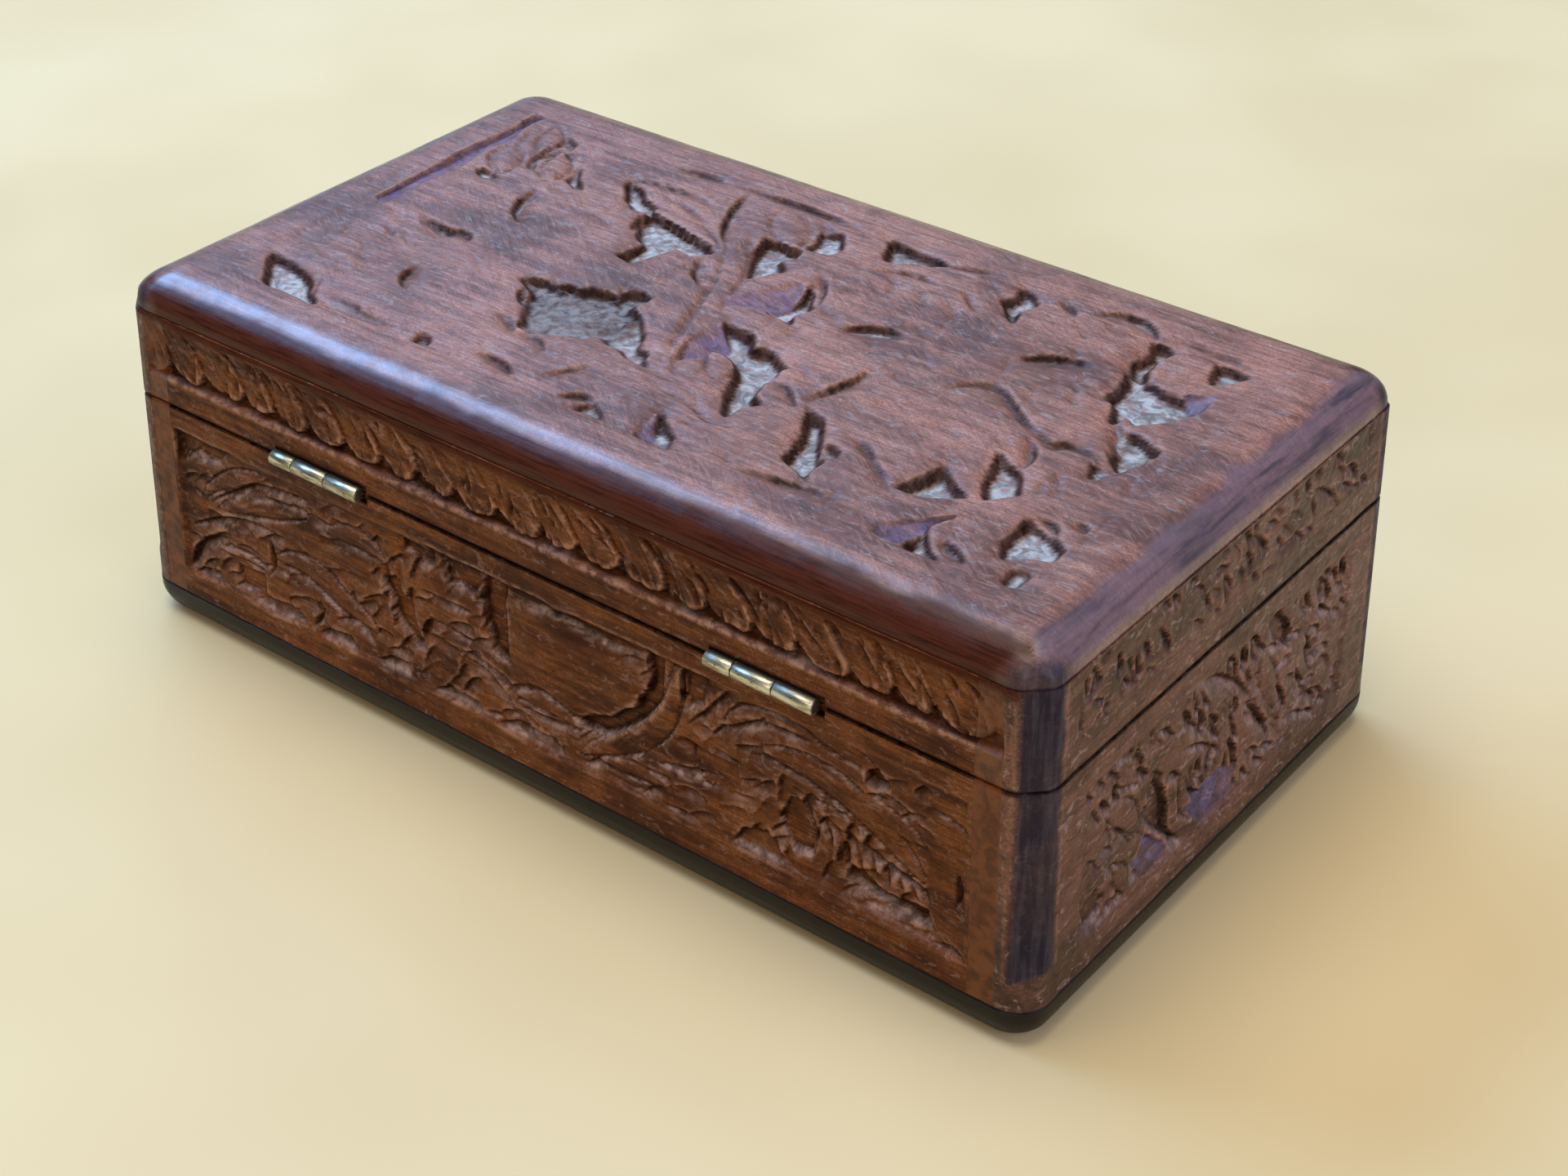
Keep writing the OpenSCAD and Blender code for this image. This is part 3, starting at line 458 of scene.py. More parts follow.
def place_on(line, u, v):
    """Share of the way along a line, and distance from it, positive on its left."""
    steps = np.diff(line, axis=0)
    lengths = np.hypot(*steps.T)
    start = np.concatenate([[0], np.cumsum(lengths)])
    best = np.full(u.shape, np.inf)
    along, across = np.zeros(u.shape), np.zeros(u.shape)
    for (x, y), (dx, dy), length, before in zip(line, steps, lengths, start):
        t = np.clip(((u - x) * dx + (v - y) * dy) / length**2, 0, 1)
        away = np.hypot(u - x - t * dx, v - y - t * dy)
        side = np.sign(dx * (v - y) - dy * (u - x))
        nearer = away < best
        best = np.where(nearer, away, best)
        along = np.where(nearer, (before + t * length) / start[-1], along)
        across = np.where(nearer, side * away, across)
    return along, across


def distance_inside(u, v, outline):
    """Distance to an outline's nearest edge, positive inside it."""
    best = np.full(u.shape, np.inf)
    inside = np.zeros(u.shape, bool)
    for (x0, y0), (x1, y1) in zip(outline, outline[1:] + outline[:1]):
        dx, dy = x1 - x0, y1 - y0
        t = np.clip(((u - x0) * dx + (v - y0) * dy) / (dx * dx + dy * dy), 0, 1)
        best = np.minimum(best, np.hypot(u - x0 - t * dx, v - y0 - t * dy))
        if y0 != y1:
            inside ^= ((y0 > v) != (y1 > v)) & (u < x0 + (v - y0) * dx / dy)
    return np.where(inside, best, -best)


def taper(along, power):
    """Share of its full width that a cut has along its way, small at both ends."""
    return np.sin(np.pi * np.clip(along, 0.004, 0.996)) ** power


def dome(x):
    """Height of a round dome below its top, from 0 in its middle to -1 at its edge."""
    return np.sqrt(np.clip(1 - x * x, 0, 1)) - 1


def blurred(values, reach):
    """Values evened out over some grid steps."""
    x = np.arange(-2 * reach, 2 * reach + 1)
    weights = np.exp(-((x / reach) ** 2))
    weights /= weights.sum()
    for axis in (0, 1):
        pad = [(0, 0), (0, 0)]
        pad[axis] = (2 * reach, 2 * reach)
        padded = np.pad(values, pad, "edge")
        size = values.shape[axis]
        values = sum(w * np.take(padded, range(k, k + size), axis) for k, w in enumerate(weights))
    return values


# Carving

class Face:
    """A carved face: a grid of heights, and how polished, worn and highlit on crests, dusty and darkened by
    painted shade each place is.
    """

    def __init__(self, u, v, seed):
        self.u, self.v, self.seed = u, v, seed
        self.h = np.zeros(u.shape)
        self.polish_and_reflection = np.zeros(u.shape)
        self.crest_wear_and_highlight = np.zeros(u.shape)
        self.dusty = np.ones(u.shape)
        self.shade = np.zeros(u.shape)

    def near(self, points, reach):
        """Where the grid comes within reach of some points."""
        low, high = np.min(points, 0) - reach, np.max(points, 0) + reach
        return np.nonzero((self.u > low[0]) & (self.u < high[0]) & (self.v > low[1]) & (self.v < high[1]))

    def pocket(self, outline, depth, rough=0.1, ragged=0.3, wall=0.8):
        """Sunk ground with uneven sides, rolled shoulders and a rough floor."""
        at = self.near(outline, 5)
        u, v = self.u[at], self.v[at]
        shake_u, shake_v = (ragged * noise(u, v, 2.2, self.seed + k) for k in (11, 12))
        inside = distance_inside(u + shake_u, v + shake_v, outline)
        wall = wall + 0.3 * noise(u, v, 5, self.seed + 14)
        floor = -depth + rough * fractal(u, v, 2.6, self.seed + 13)
        shoulder = 0.4 + 0.4 * noise(u, v, 5, self.seed + 15)
        self.h[at] -= shoulder * np.exp(np.minimum(inside, 0) / 1.5) * (inside < 0.2)
        self.h[at] = np.minimum(self.h[at], floor * ramp(inside / wall + 0.35))

    def rubble(self, middle, reach, height):
        """Torn fibres left standing on sunk ground."""
        away = np.hypot(self.u - middle[0], self.v - middle[1])
        lumps = np.clip(noise(self.u, self.v, 1.6, self.seed + 16) - 0.1, 0, 1)
        self.h += height * 2 * lumps * ramp(1.5 - away / reach) * (self.h < -1.2)

    def slope(self, outline, start, end, depths):
        """A smooth polished slope, which the material gives a painted cool sheen."""
        at = self.near(outline, 1)
        u, v = self.u[at], self.v[at]
        inside = ramp(distance_inside(u, v, outline) / 0.6 + 0.5)
        way = np.subtract(end, start)
        along = np.clip(((u - start[0]) * way[0] + (v - start[1]) * way[1]) / (way @ way), 0, 1)
        target = -(depths[0] + (depths[1] - depths[0]) * along)
        self.h[at] = self.h[at] * (1 - inside) + target * inside
        self.polish_and_reflection[at] = np.maximum(self.polish_and_reflection[at], inside * (0.3 + 0.7 * along))

    def gouge(self, path, width, depth, lean, widen=1.35):
        """A cut that tapers to both ends: a steep wall on one side and a long slope on the other."""
        line = curve(path)
        width *= widen
        lean = math.copysign(0.45 + 0.5 * abs(lean), lean or 1)
        at = self.near(line, width)
        u, v = self.u[at], self.v[at]
        shake = 0.14 * fractal(u, v, 1.7, self.seed + 21, 2)
        along, across = place_on(line, u, v)
        share = taper(along, 0.6)
        x = (across + shake) / (width / 2 * share)
        slope = np.clip((x + 1) / (1 + lean), 0, 1)
        wall = np.clip((1 - x) / (1 - lean), 0, 1)
        if lean > 0:
            cut = np.where(x < lean, slope**1.7, wall**0.8)
        else:
            cut = np.where(x > lean, wall**1.7, slope**0.8)
        self.h[at] = np.minimum(self.h[at], -depth * share * cut)

    def petal_place(self, path, width):
        """Where a leaf lies, the share of the way along it, and the share of the way to its edge."""
        line = curve(path)
        at = self.near(line, width)
        along, across = place_on(line, self.u[at], self.v[at])
        share = np.sin(np.pi * np.clip(0.04 + 0.92 * along, 0, 1)) ** 0.55
        return at, along, np.abs(across) / (width / 2 * share)

    def petal(self, path, width, height):
        """A domed leaf that stands in a shallow sunk rim."""
        at, along, x = self.petal_place(path, width)
        rim = -height * np.clip(1 - (x - 1) * width, 0, 1)
        rim *= ramp(12 * np.minimum(along, 1 - along))
        self.h[at] = np.where(x < 1, height * dome(x), np.minimum(self.h[at], rim))

    def raise_petal(self, path, width, height):
        """Brings a domed leaf back where a pocket has cut into it."""
        at, _, x = self.petal_place(path, width)
        raised = np.maximum(self.h[at], height * dome(x) - 0.1)
        self.h[at] = np.where(x < 1, raised, self.h[at])

    def vein(self, path, width, depth):
        """A fine line cut into whatever surface is there."""
        line = curve(path, 4)
        at = self.near(line, width)
        along, across = place_on(line, self.u[at], self.v[at])
        share = taper(along, 0.5)
        self.h[at] -= depth * share * np.clip(1 - np.abs(across) / (width / 2 * share), 0, 1)

    def veins(self, middle, length, slant, spread, count, bow):
        """Fine lines side by side that fan out."""
        for k in range(count):
            off = k - (count - 1) / 2
            way = math.radians(slant + spread * off / count)
            along = np.array([math.cos(way), math.sin(way)])
            aside = np.array([-along[1], along[0]])
            slip = 3 * (scatter(np.array(k), np.array(count), 7) - 0.5)
            centre = np.array(middle) + off * VEIN_PITCH * aside + slip * along
            half = length / 2 * (0.6 + 0.4 * scatter(np.array(k), np.array(count), 8))
            bend = aside * bow * length * 0.5
            self.vein([centre - half * along, centre + bend, centre + half * along], *VEIN_CUT)

    def ledge(self, outline, depth):
        """A slope that faces up, deepest at its top."""
        low, high = np.min(outline, 0), np.max(outline, 0)
        self.slope(outline, (low[0], high[1]), (low[0], low[1]), (depth, 0.1))
        self.polish_and_reflection[self.near(outline, 1)] = 0

    def each(self, cut, rows, **settings):
        """Makes one cut after another, each from its row of a design."""
        for row in rows:
            cut(self, *row, **settings)

    def uneven(self, amount, size, seed):
        """Swells and hollows left by hand work, none of them above the board's own surface."""
        self.h += amount * fractal(self.u, self.v, size, self.seed + seed) - amount
        self.h = np.minimum(self.h, 0)

    def chips(self, pitch, sizes, depth, slant, share, mask):
        """Scatters small scooped cuts, each steep on its upper side."""
        length, width = sizes
        wander = 45 * noise(self.u, self.v, 16, self.seed + 71)
        ix, iy = (np.floor(w / pitch).astype(np.int64) for w in (self.u, self.v))
        cut = np.zeros(self.u.shape)
        for step_x in (-1, 0, 1):
            for step_y in (-1, 0, 1):
                cx, cy = ix + step_x, iy + step_y
                r = [scatter(cx, cy, self.seed + k) for k in range(72, 77)]
                way = np.radians(slant + wander + 70 * (r[2] - 0.5))
                du, dv = self.u - (cx + r[0]) * pitch, self.v - (cy + r[1]) * pitch
                along = (du * np.cos(way) + dv * np.sin(way)) / (length / 2)
                across = (dv * np.cos(way) - du * np.sin(way)) / (width / 2)
                across += 0.5 * along**2
                slope = np.where(across < 0.72, (across + 1) / 1.72, (1 - across) / 0.28)
                scoop = depth * (0.4 + 0.6 * r[3]) * np.clip(slope, 0, 1) * np.clip(1 - along**2, 0, 1) ** 0.5
                cut = np.maximum(cut, np.where(r[4] < share, scoop, 0))
        self.h -= cut * mask

    def tool_marks(self, amount, angle, mask):
        """Long shallow marks along a direction that wanders."""
        bend = 12 * noise(self.u, self.v, 22, self.seed + 31)
        along, across = turned(self.u, self.v, angle)
        across = across + bend / 12
        self.h += mask * amount * (noise(along / 9, across, 0.95, self.seed + 32)
                                   + 0.6 * noise(along / 7, across, 0.5, self.seed + 33))


def carve_top(u, v):
    """The lid's panel, with its plain border and scribed line."""
    face = Face(u, v, 100)
    half_l, half_w = LENGTH / 2 - PANEL_BORDER, WIDTH / 2 - PANEL_BORDER
    inside = np.minimum(half_l - np.abs(u), half_w - np.abs(v))
    in_panel = ramp(inside / 1.5 + 0.5)
    busy = ramp((noise(u, v, 13, 48) + 0.25) * 3) * ramp(inside / 3)
    face.chips(4.4, (6.5, 2), 0.6, -30, 0.32, busy)
    face.each(Face.petal, TOP_PETALS)
    face.each(Face.gouge, TOP_GOUGES, widen=1.9)
    face.each(Face.pocket, TOP_POCKETS, wall=1.3)
    face.pocket(CHIPPED_RECESS, 1.6, rough=0.06, ragged=0.7, wall=1.3)
    in_recess = ramp(distance_inside(u, v, CHIPPED_RECESS) + 1) * ramp((-8 - u) / 5)
    # Less dust and painted shade inside the chipped recess
    face.dusty = 1 - 0.6 * in_recess
    face.shade = 0.75 * in_recess
    face.each(Face.gouge, RECESS_GOUGES)
    face.rubble((-12, -13), 7, 0.5)
    face.h = blurred(face.h, 1)
    face.each(Face.raise_petal, TOP_PETALS)
    face.each(Face.slope, TOP_SLOPES)
    face.each(Face.veins, TOP_VEINS)
    face.tool_marks(0.045, -35, in_panel)
    face.h += in_panel * 0.7 * np.minimum(fractal(u, v, 15, 41, 2) - 0.05, 0)
    scribe = np.abs(inside + 0.4)
    face.h -= (0.12 + 0.12 * noise(u, v, 12, 49)) * np.clip(1 - scribe / 0.55, 0, 1)
    face.uneven(0.05, 9, 43)
    return face


def carve_long(u, v):
    """A long side of the body."""
    face = Face(u, v, 200)
    low_edge = -FIELD_HALF + 0.9 * np.abs(np.sin(u / 9.4)) + 0.5 * noise(u, v, 5, 3)
    inside = np.minimum(np.minimum(FIELD_HALF - v, v - low_edge), INNER_L / 2 - 0.8 - np.abs(u))
    in_field = ramp(inside / 1.6 + 0.5)
    plain = np.hypot((u - 6.5) / 14, (v - 4.5) / 8)
    busy = ramp((plain - 0.9) * 4) * ramp(inside / 2) * ramp((74 - u) / 4)
    face.chips(3.5, (6, 2.3), 0.95, 15, 0.62, busy)
    face.each(Face.petal, LONG_PETALS)
    face.each(Face.gouge, LONG_GOUGES)
    face.each(Face.pocket, LONG_POCKETS)
    face.each(Face.raise_petal, LONG_PETALS)
    for outline in LONG_LEDGES:
        face.ledge(outline, 1.3)
    fan_of_ribs(face)
    face.each(Face.veins, LONG_VEINS)
    face.tool_marks(0.05, 8, in_field)
    face.h += in_field * (0.3 * fractal(u, v, 9, 45) - 0.45)
    face.h *= ramp(inside + 0.9)
    face.uneven(0.05, 7, 46)
    return face


def fan_of_ribs(face):
    """The curved ribs of the last leaf."""
    for k in range(FAN_RIBS):
        t = k / (FAN_RIBS - 1)
        start = np.add(FAN_START, np.multiply(t, np.subtract(FAN_END, FAN_START)))
        tip = np.add(FAN_TIP_START, np.multiply(t**0.9, np.subtract(FAN_TIP_END, FAN_TIP_START)))
        knee = start * 0.45 + tip * 0.55 + [1.9 - 1.1 * t, 1.2]
        face.vein([start, knee, tip], 1.7, 0.6)


def carve_end(u, v):
    """An end of the body."""
    face = Face(u, v, 300)
    inside = np.minimum(FIELD_HALF - np.abs(v), WIDTH / 2 - PANEL_BORDER - np.abs(u))
    in_field = ramp(inside / 1.5 + 0.5)
    face.chips(3.3, (5, 2.1), 1.25, -45, 0.75, ramp(inside / 2))
    face.each(Face.petal, END_PETALS)
    face.each(Face.gouge, END_GOUGES)
    face.each(Face.pocket, END_POCKETS)
    face.each(Face.slope, END_SLOPES)
    face.each(Face.veins, END_VEINS)
    face.tool_marks(0.05, -40, in_field)
    face.h += in_field * (0.3 * fractal(u, v, 9, 55) - 0.35)
    face.h *= ramp(inside + 0.9)
    face.uneven(0.05, 7, 56)
    return face


def carve_feathers(u, v, length, count):
    """The band of feather cuts round the lid: lobes that overlap, with v up from the band's foot."""
    face = Face(u, v, 400)
    pitch = length / count
    t = np.clip(v / BAND_HEIGHT, 0, 1)
    shake = 1.3 * noise(u, 0 * v, 9, 61) + 0.45 * noise(u, v, 3.4, 64)
    phase = (u + length / 2 - 0.85 * pitch * (1 - t**1.8) + shake) / pitch
    index = np.floor(phase)
    x = phase - index
    size = 0.6 + 0.6 * scatter(index.astype(np.int64), np.zeros(u.shape, np.int64), 5)
    lobe = -0.65 * size * (1 - x) ** 1.3 * ramp(x / 0.06) - 0.12 * (1 - np.sin(np.pi * x))
    foot = 0.4 + 2.4 * np.abs(2 * x - 1) ** 3 + 0.9 * size + 0.5 * noise(u, v, 2.4, 67)
    wedge = -1.4 * ramp((foot - v) / 0.7 + 0.5)
    inside = np.minimum(np.minimum(v - 0.2, BAND_HEIGHT - 0.9 - v), length / 2 - np.abs(u))
    face.h = np.minimum(lobe * ramp((BAND_HEIGHT - v) / 4), wedge) * ramp(inside / 0.8)
    wave = 2 * np.pi * (2.5 * x + 0.5 * noise(u, v, 4, 65))
    face.h -= 0.2 * np.clip(np.cos(wave), 0, 1) * ramp(inside / 2) * ramp((x - 0.1) * 5)
    # Painted highlight, with wear, along each lobe's crest and the crests of its ripples
    crest = np.exp(-(((1 - x) / 0.06) ** 2)) + 0.5 * ramp((0.2 - np.abs(np.sin(wave / 2 + 0.4))) / 0.2)
    patchy = ramp(1.2 * noise(u, v, 4.5, 68) + 0.65)
    face.crest_wear_and_highlight = np.clip(crest, 0, 1) * ramp(inside / 2) * ramp((BAND_HEIGHT - v) / 5) * patchy
    face.chips(3.1, (4.6, 1.3), 0.7, -58, 0.6, ramp(inside / 1.5))
    face.dusty = ramp(1.5 * noise(u, v, 6, 69) - 0.2)
    face.uneven(0.05, 5, 63)
    return face


def carve_end_band(u, v):
    """The band of small marks across an end of the lid."""
    face = Face(u, v, 500)
    inside = np.minimum(np.minimum(v, BAND_HEIGHT - v), WIDTH / 2 - 9 - np.abs(u))
    face.chips(3.4, (4.6, 2), 1, -48, 0.62, ramp(inside / 1.5))
    face.each(Face.gouge, END_BAND_GOUGES)
    face.h *= ramp(inside + 0.5)
    face.uneven(0.07, 6, 66)
    return face


# Meshes

def grid_normals(points):
    """Normals of a grid of points, outward or inward by how its rows and columns run."""
    across = np.gradient(points, axis=1)
    along = np.gradient(points, axis=0)
    normals = np.cross(along, across)
    return normals / np.maximum(np.linalg.norm(normals, axis=2, keepdims=True), 1e-9)


def surface_marks(points, face, facing, step):
    """Dust on sunk floors, painted shade and dark wax on steep, hollow and shaded places, wear and painted
    highlights on raised edges, and polish that carries a painted reflection.
    """
    depth, polish_and_reflection = face.h, face.polish_and_reflection
    normals = grid_normals(points)
    normals *= np.sign(np.sum(normals * facing, axis=2, keepdims=True) + 1e-9)
    square = np.sum(normals * facing, axis=2)
    up = normals[:, :, 2]
    hollow = blurred(depth, max(1, round(0.9 / step))) - depth
    steep = ramp((0.94 - square) / 0.28)
    if abs(facing[0, 0, 2]) > 0.5:
        level = ramp((square - 0.8) / 0.18) * ramp((-depth - 1) / 0.5)
        shade = 1
    else:
        level = ramp((up - 0.15) / 0.45) * ramp((-depth - 0.25) / 0.5)
        # Walls that don't face up get painted shade
        shade = 1 - ramp((up - 0.1) / 0.3)
    # Painted shade: steep sunk walls, hollows and the face's own shaded places go dark
    dark = np.clip(steep * shade * ramp(-depth / 0.5) + 0.75 * ramp(hollow / 0.3) + face.shade, 0, 1)
    dust = level * face.dusty * (1 - ramp(2 * polish_and_reflection)) * (1 - 0.6 * ramp(hollow / 0.4))
    # Wear with painted highlights on raised edges and crests
    wear_and_highlight = np.maximum(ramp((-hollow - 0.04) / 0.25) * (1 - dust), face.crest_wear_and_highlight)
    return {"dust": dust, "dark": dark * (1 - 0.7 * polish_and_reflection), "wear_and_highlight": wear_and_highlight, "polish_and_reflection": polish_and_reflection}


def new_piece(name, points, faces, marks=None):
    """A mesh object from points in millimetres, with its marks kept per point."""
    mesh = bpy.data.meshes.new(name)
    mesh.from_pydata((np.asarray(points) * MM).tolist(), [], faces)
    mesh.validate()
    if solid_volume(mesh) < 0:
        mesh.flip_normals()
    for key in MARKS:
        values = np.zeros(len(mesh.vertices), np.float32)
        if marks is not None and key in marks:
            values[: marks[key].size] = marks[key].reshape(-1)
        mesh.attributes.new(key, "FLOAT", "POINT").data.foreach_set("value", values)
    mesh.shade_smooth()
    mesh.set_sharp_from_angle(angle=math.radians(50))
    return linked(bpy.data.objects.new(name, mesh))


def linked(item):
    """Puts an object into the scene."""
    bpy.context.scene.collection.objects.link(item)
    return item


def solid_volume(mesh):
    """Six times the volume, negative where the faces look inwards."""
    mesh.calc_loop_triangles()
    co = np.empty(len(mesh.vertices) * 3, np.float32)
    mesh.vertices.foreach_get("co", co)
    corners = np.empty(len(mesh.loop_triangles) * 3, np.int32)
    mesh.loop_triangles.foreach_get("vertices", corners)
    a, b, c = co.reshape(-1, 3)[corners.reshape(-1, 3)].transpose(1, 0, 2).astype(float)
    return float(np.sum(a * np.cross(b, c)))


def loft_faces(sections, loop):
    """Faces of closed loops joined one after another, with both ends closed."""
    i, j = np.meshgrid(np.arange(sections - 1), np.arange(loop), indexing="ij")
    k = (j + 1) % loop
    quads = np.stack([i * loop + j, i * loop + k, (i + 1) * loop + k, (i + 1) * loop + j], -1).reshape(-1, 4)
    last = (sections - 1) * loop
    return quads.tolist() + [list(range(loop - 1, -1, -1)), list(range(last, last + loop))]


def side_axes(side):
    """Directions along a side, as seen from outside, and out of it."""
    turn = math.radians(90 * side)
    return np.array([math.cos(turn), math.sin(turn), 0]), np.array([math.sin(turn), -math.cos(turn), 0])


def in_place(side, along, out, z):
    """Points of a side from their place along it, their distance from the box's middle and their height."""
    t, n = side_axes(side)
    return along[..., None] * t + out[..., None] * n + z[..., None] * np.array([0, 0, 1.0])


def hinge_columns(low, high):
    """Places along the back where the hinge mortises start and end, each as a close pair."""
    found = []
    for x in HINGE_X.values():
        for edge in (-x - MORTISE_HALF, -x + MORTISE_HALF, -x + MORTISE_HALF + NOTCH_PAST):
            found += [edge - 0.01, edge + 0.01]
    return [u for u in found if low < u < high]


def hinge_cuts(columns):
    """How far the hinge notches and the leaves' mortises go from the seam, at places along the back."""
    in_mortise, in_notch = np.zeros(len(columns), bool), np.zeros(len(columns), bool)
    for x in HINGE_X.values():
        in_mortise |= np.abs(columns + x) < MORTISE_HALF
        in_notch |= (columns + x > -MORTISE_HALF) & (columns + x < MORTISE_HALF + NOTCH_PAST)
    return np.where(in_notch, NOTCH[1], 0)[:, None], np.where(in_mortise, MORTISE[1], 0)[:, None]


def inner_profile(notch, leaf, height, far_edge):
    """Places out from the middle and away from the seam, from a long board's seam edge round its inside."""
    outside = WIDTH / 2
    none = 0 * leaf
    return [
        (outside - np.where(notch > 0, 0, EDGE), notch),
        (outside - NOTCH[0], notch), (outside - NOTCH[0], leaf),
        (outside - MORTISE[0], leaf), (outside - MORTISE[0] - 0.01, none),
        (outside - WALL + EDGE, none), (outside - WALL, none + EDGE),
        (outside - WALL, none + height), (outside - far_edge, none + height),
    ]


def seam_shade(distance):
    """Painted shade beside the seam, by the distance from it."""
    return ramp((0.55 - distance) / 0.35)


def under_lid_shade(z):
    """Painted warm shade along the joint under the lid's top board."""
    return ramp((z - RAIL_TOP + 2.2) / 2)


def long_board(name, side, z_seam, z_far, carve):
    """A board of a long side, from its seam edge to its far edge, with hinge mortises on the back."""
    sign = 1 if z_far > z_seam else -1
    height = abs(z_far - z_seam)
    columns = np.linspace(-INNER_L / 2, INNER_L / 2, round(INNER_L / STEP_SIDE) + 1)
    notch = leaf = np.zeros((len(columns), 1))
    if side == BACK:
        columns = np.sort(np.concatenate([columns, hinge_columns(-INNER_L / 2, INNER_L / 2)]))
        notch, leaf = hinge_cuts(columns)
    far_edge = FINE_EDGE if sign > 0 else EDGE
    rows = np.linspace(height - far_edge, EDGE, round((height - 2 * EDGE) / STEP_SIDE) + 1)
    reach = 6.0
    down = rows[None, :] + notch * np.clip((reach - rows[None, :]) / (reach - EDGE), 0, 1)
    along = np.repeat(columns[:, None], len(rows), 1)
    z = z_seam + sign * down
    face = carve(along, z)
    near_seam = ramp((down - notch - 0.2) / 0.8)
    face.h *= np.where(notch > 0, near_seam, 1)
    out = WIDTH / 2 + face.h
    rest = inner_profile(notch, leaf, height, far_edge)
    ones = np.ones((len(columns), 1))
    out_all = np.hstack([out] + [o * ones for o, _ in rest])
    down_all = np.hstack([down] + [d * ones for _, d in rest])
    along_all = np.repeat(columns[:, None], out_all.shape[1], 1)
    points = in_place(side, along_all, out_all, z_seam + sign * down_all)
    facing = np.broadcast_to(side_axes(side)[1], face.u.shape + (3,))
    marks = surface_marks(points[:, : len(rows)], face, facing, STEP_SIDE)
    # Painted shade beside the seam
    marks["dark"] = np.maximum(marks["dark"], seam_shade(down - notch))
    # Painted warm shade under the lid's rounded edge
    marks["lid_edge_shade"] = under_lid_shade(z)
    marks = {k: np.hstack([m, np.zeros((len(columns), len(rest)))]) for k, m in marks.items()}
    # Painted shade on the seam edge and in the hinge notch
    marks["dark"][:, len(rows): len(rows) + 2] = 1
    return new_piece(name, points.reshape(-1, 3), loft_faces(*out_all.shape), marks)


def end_path():
    """Plan of an end board's outside: places along the end and out of it, normals, and 1 on a corner."""
    half, arc = WIDTH / 2, WIDTH / 2 - CORNER_R
    flat = math.degrees(math.asin(CORNER_FLAT / 2 / CORNER_R))
    angles = np.concatenate([np.linspace(0, 45 - flat, 5), np.linspace(45 - flat, 45 + flat, 9)[1:],
                             np.linspace(45 + flat, 90, 5)[1:]])
    straight = np.linspace(-arc, arc, round(2 * arc / STEP_END) + 1)[1:-1]
    shoulder = np.linspace(WALL, CORNER_R, 14)[:-1]
    path = [(-half, -s, -1, 0, 0) for s in shoulder]
    for a in np.radians(angles):
        out = CORNER_R * (math.sin(a) - 1)
        path.append((-arc - CORNER_R * math.cos(a), out, -math.cos(a), math.sin(a), 1))
    path += [(s, 0, 0, 1, 0) for s in straight]
    for a in np.radians(angles[::-1]):
        out = CORNER_R * (math.sin(a) - 1)
        path.append((arc + CORNER_R * math.cos(a), out, math.cos(a), math.sin(a), 1))
    path += [(half, -s, 1, 0, 0) for s in shoulder[::-1]]
    return np.array(path)


def corner_cut(on_corner, angle):
    """How much the planed flat takes off a round corner along its normals."""
    middle = CORNER_R - math.sqrt(CORNER_R**2 - CORNER_FLAT**2 / 4)
    cut = CORNER_R - (CORNER_R - middle) / np.cos(angle - math.pi / 4)
    return np.clip(np.where(on_corner, cut, 0), 0, None)


def corner_marks(marks, off_flat, on_corner):
    """Dark polish with painted bluish reflection on a corner's planed flat, and a thin painted highlight with
    a little wear along its edges, by degrees away from it.
    """
    edge = 1 - ramp((np.abs(off_flat - 44) - 1) / 4)
    marks["flat"] = (1 - ramp((off_flat - 30) / 12)) * on_corner
    marks["wear_and_highlight"] = np.maximum(marks["wear_and_highlight"], 0.35 * edge * on_corner)


def seam_marks(marks, z):
    """Dark lines of painted shade along the seam between body and lid."""
    to_seam = np.minimum(np.abs(z - BODY_TOP), np.abs(z - RAIL_Z))
    marks["dark"] = np.maximum(marks["dark"], seam_shade(to_seam))
    marks["flat"] = marks["flat"] * (to_seam > 0.1)


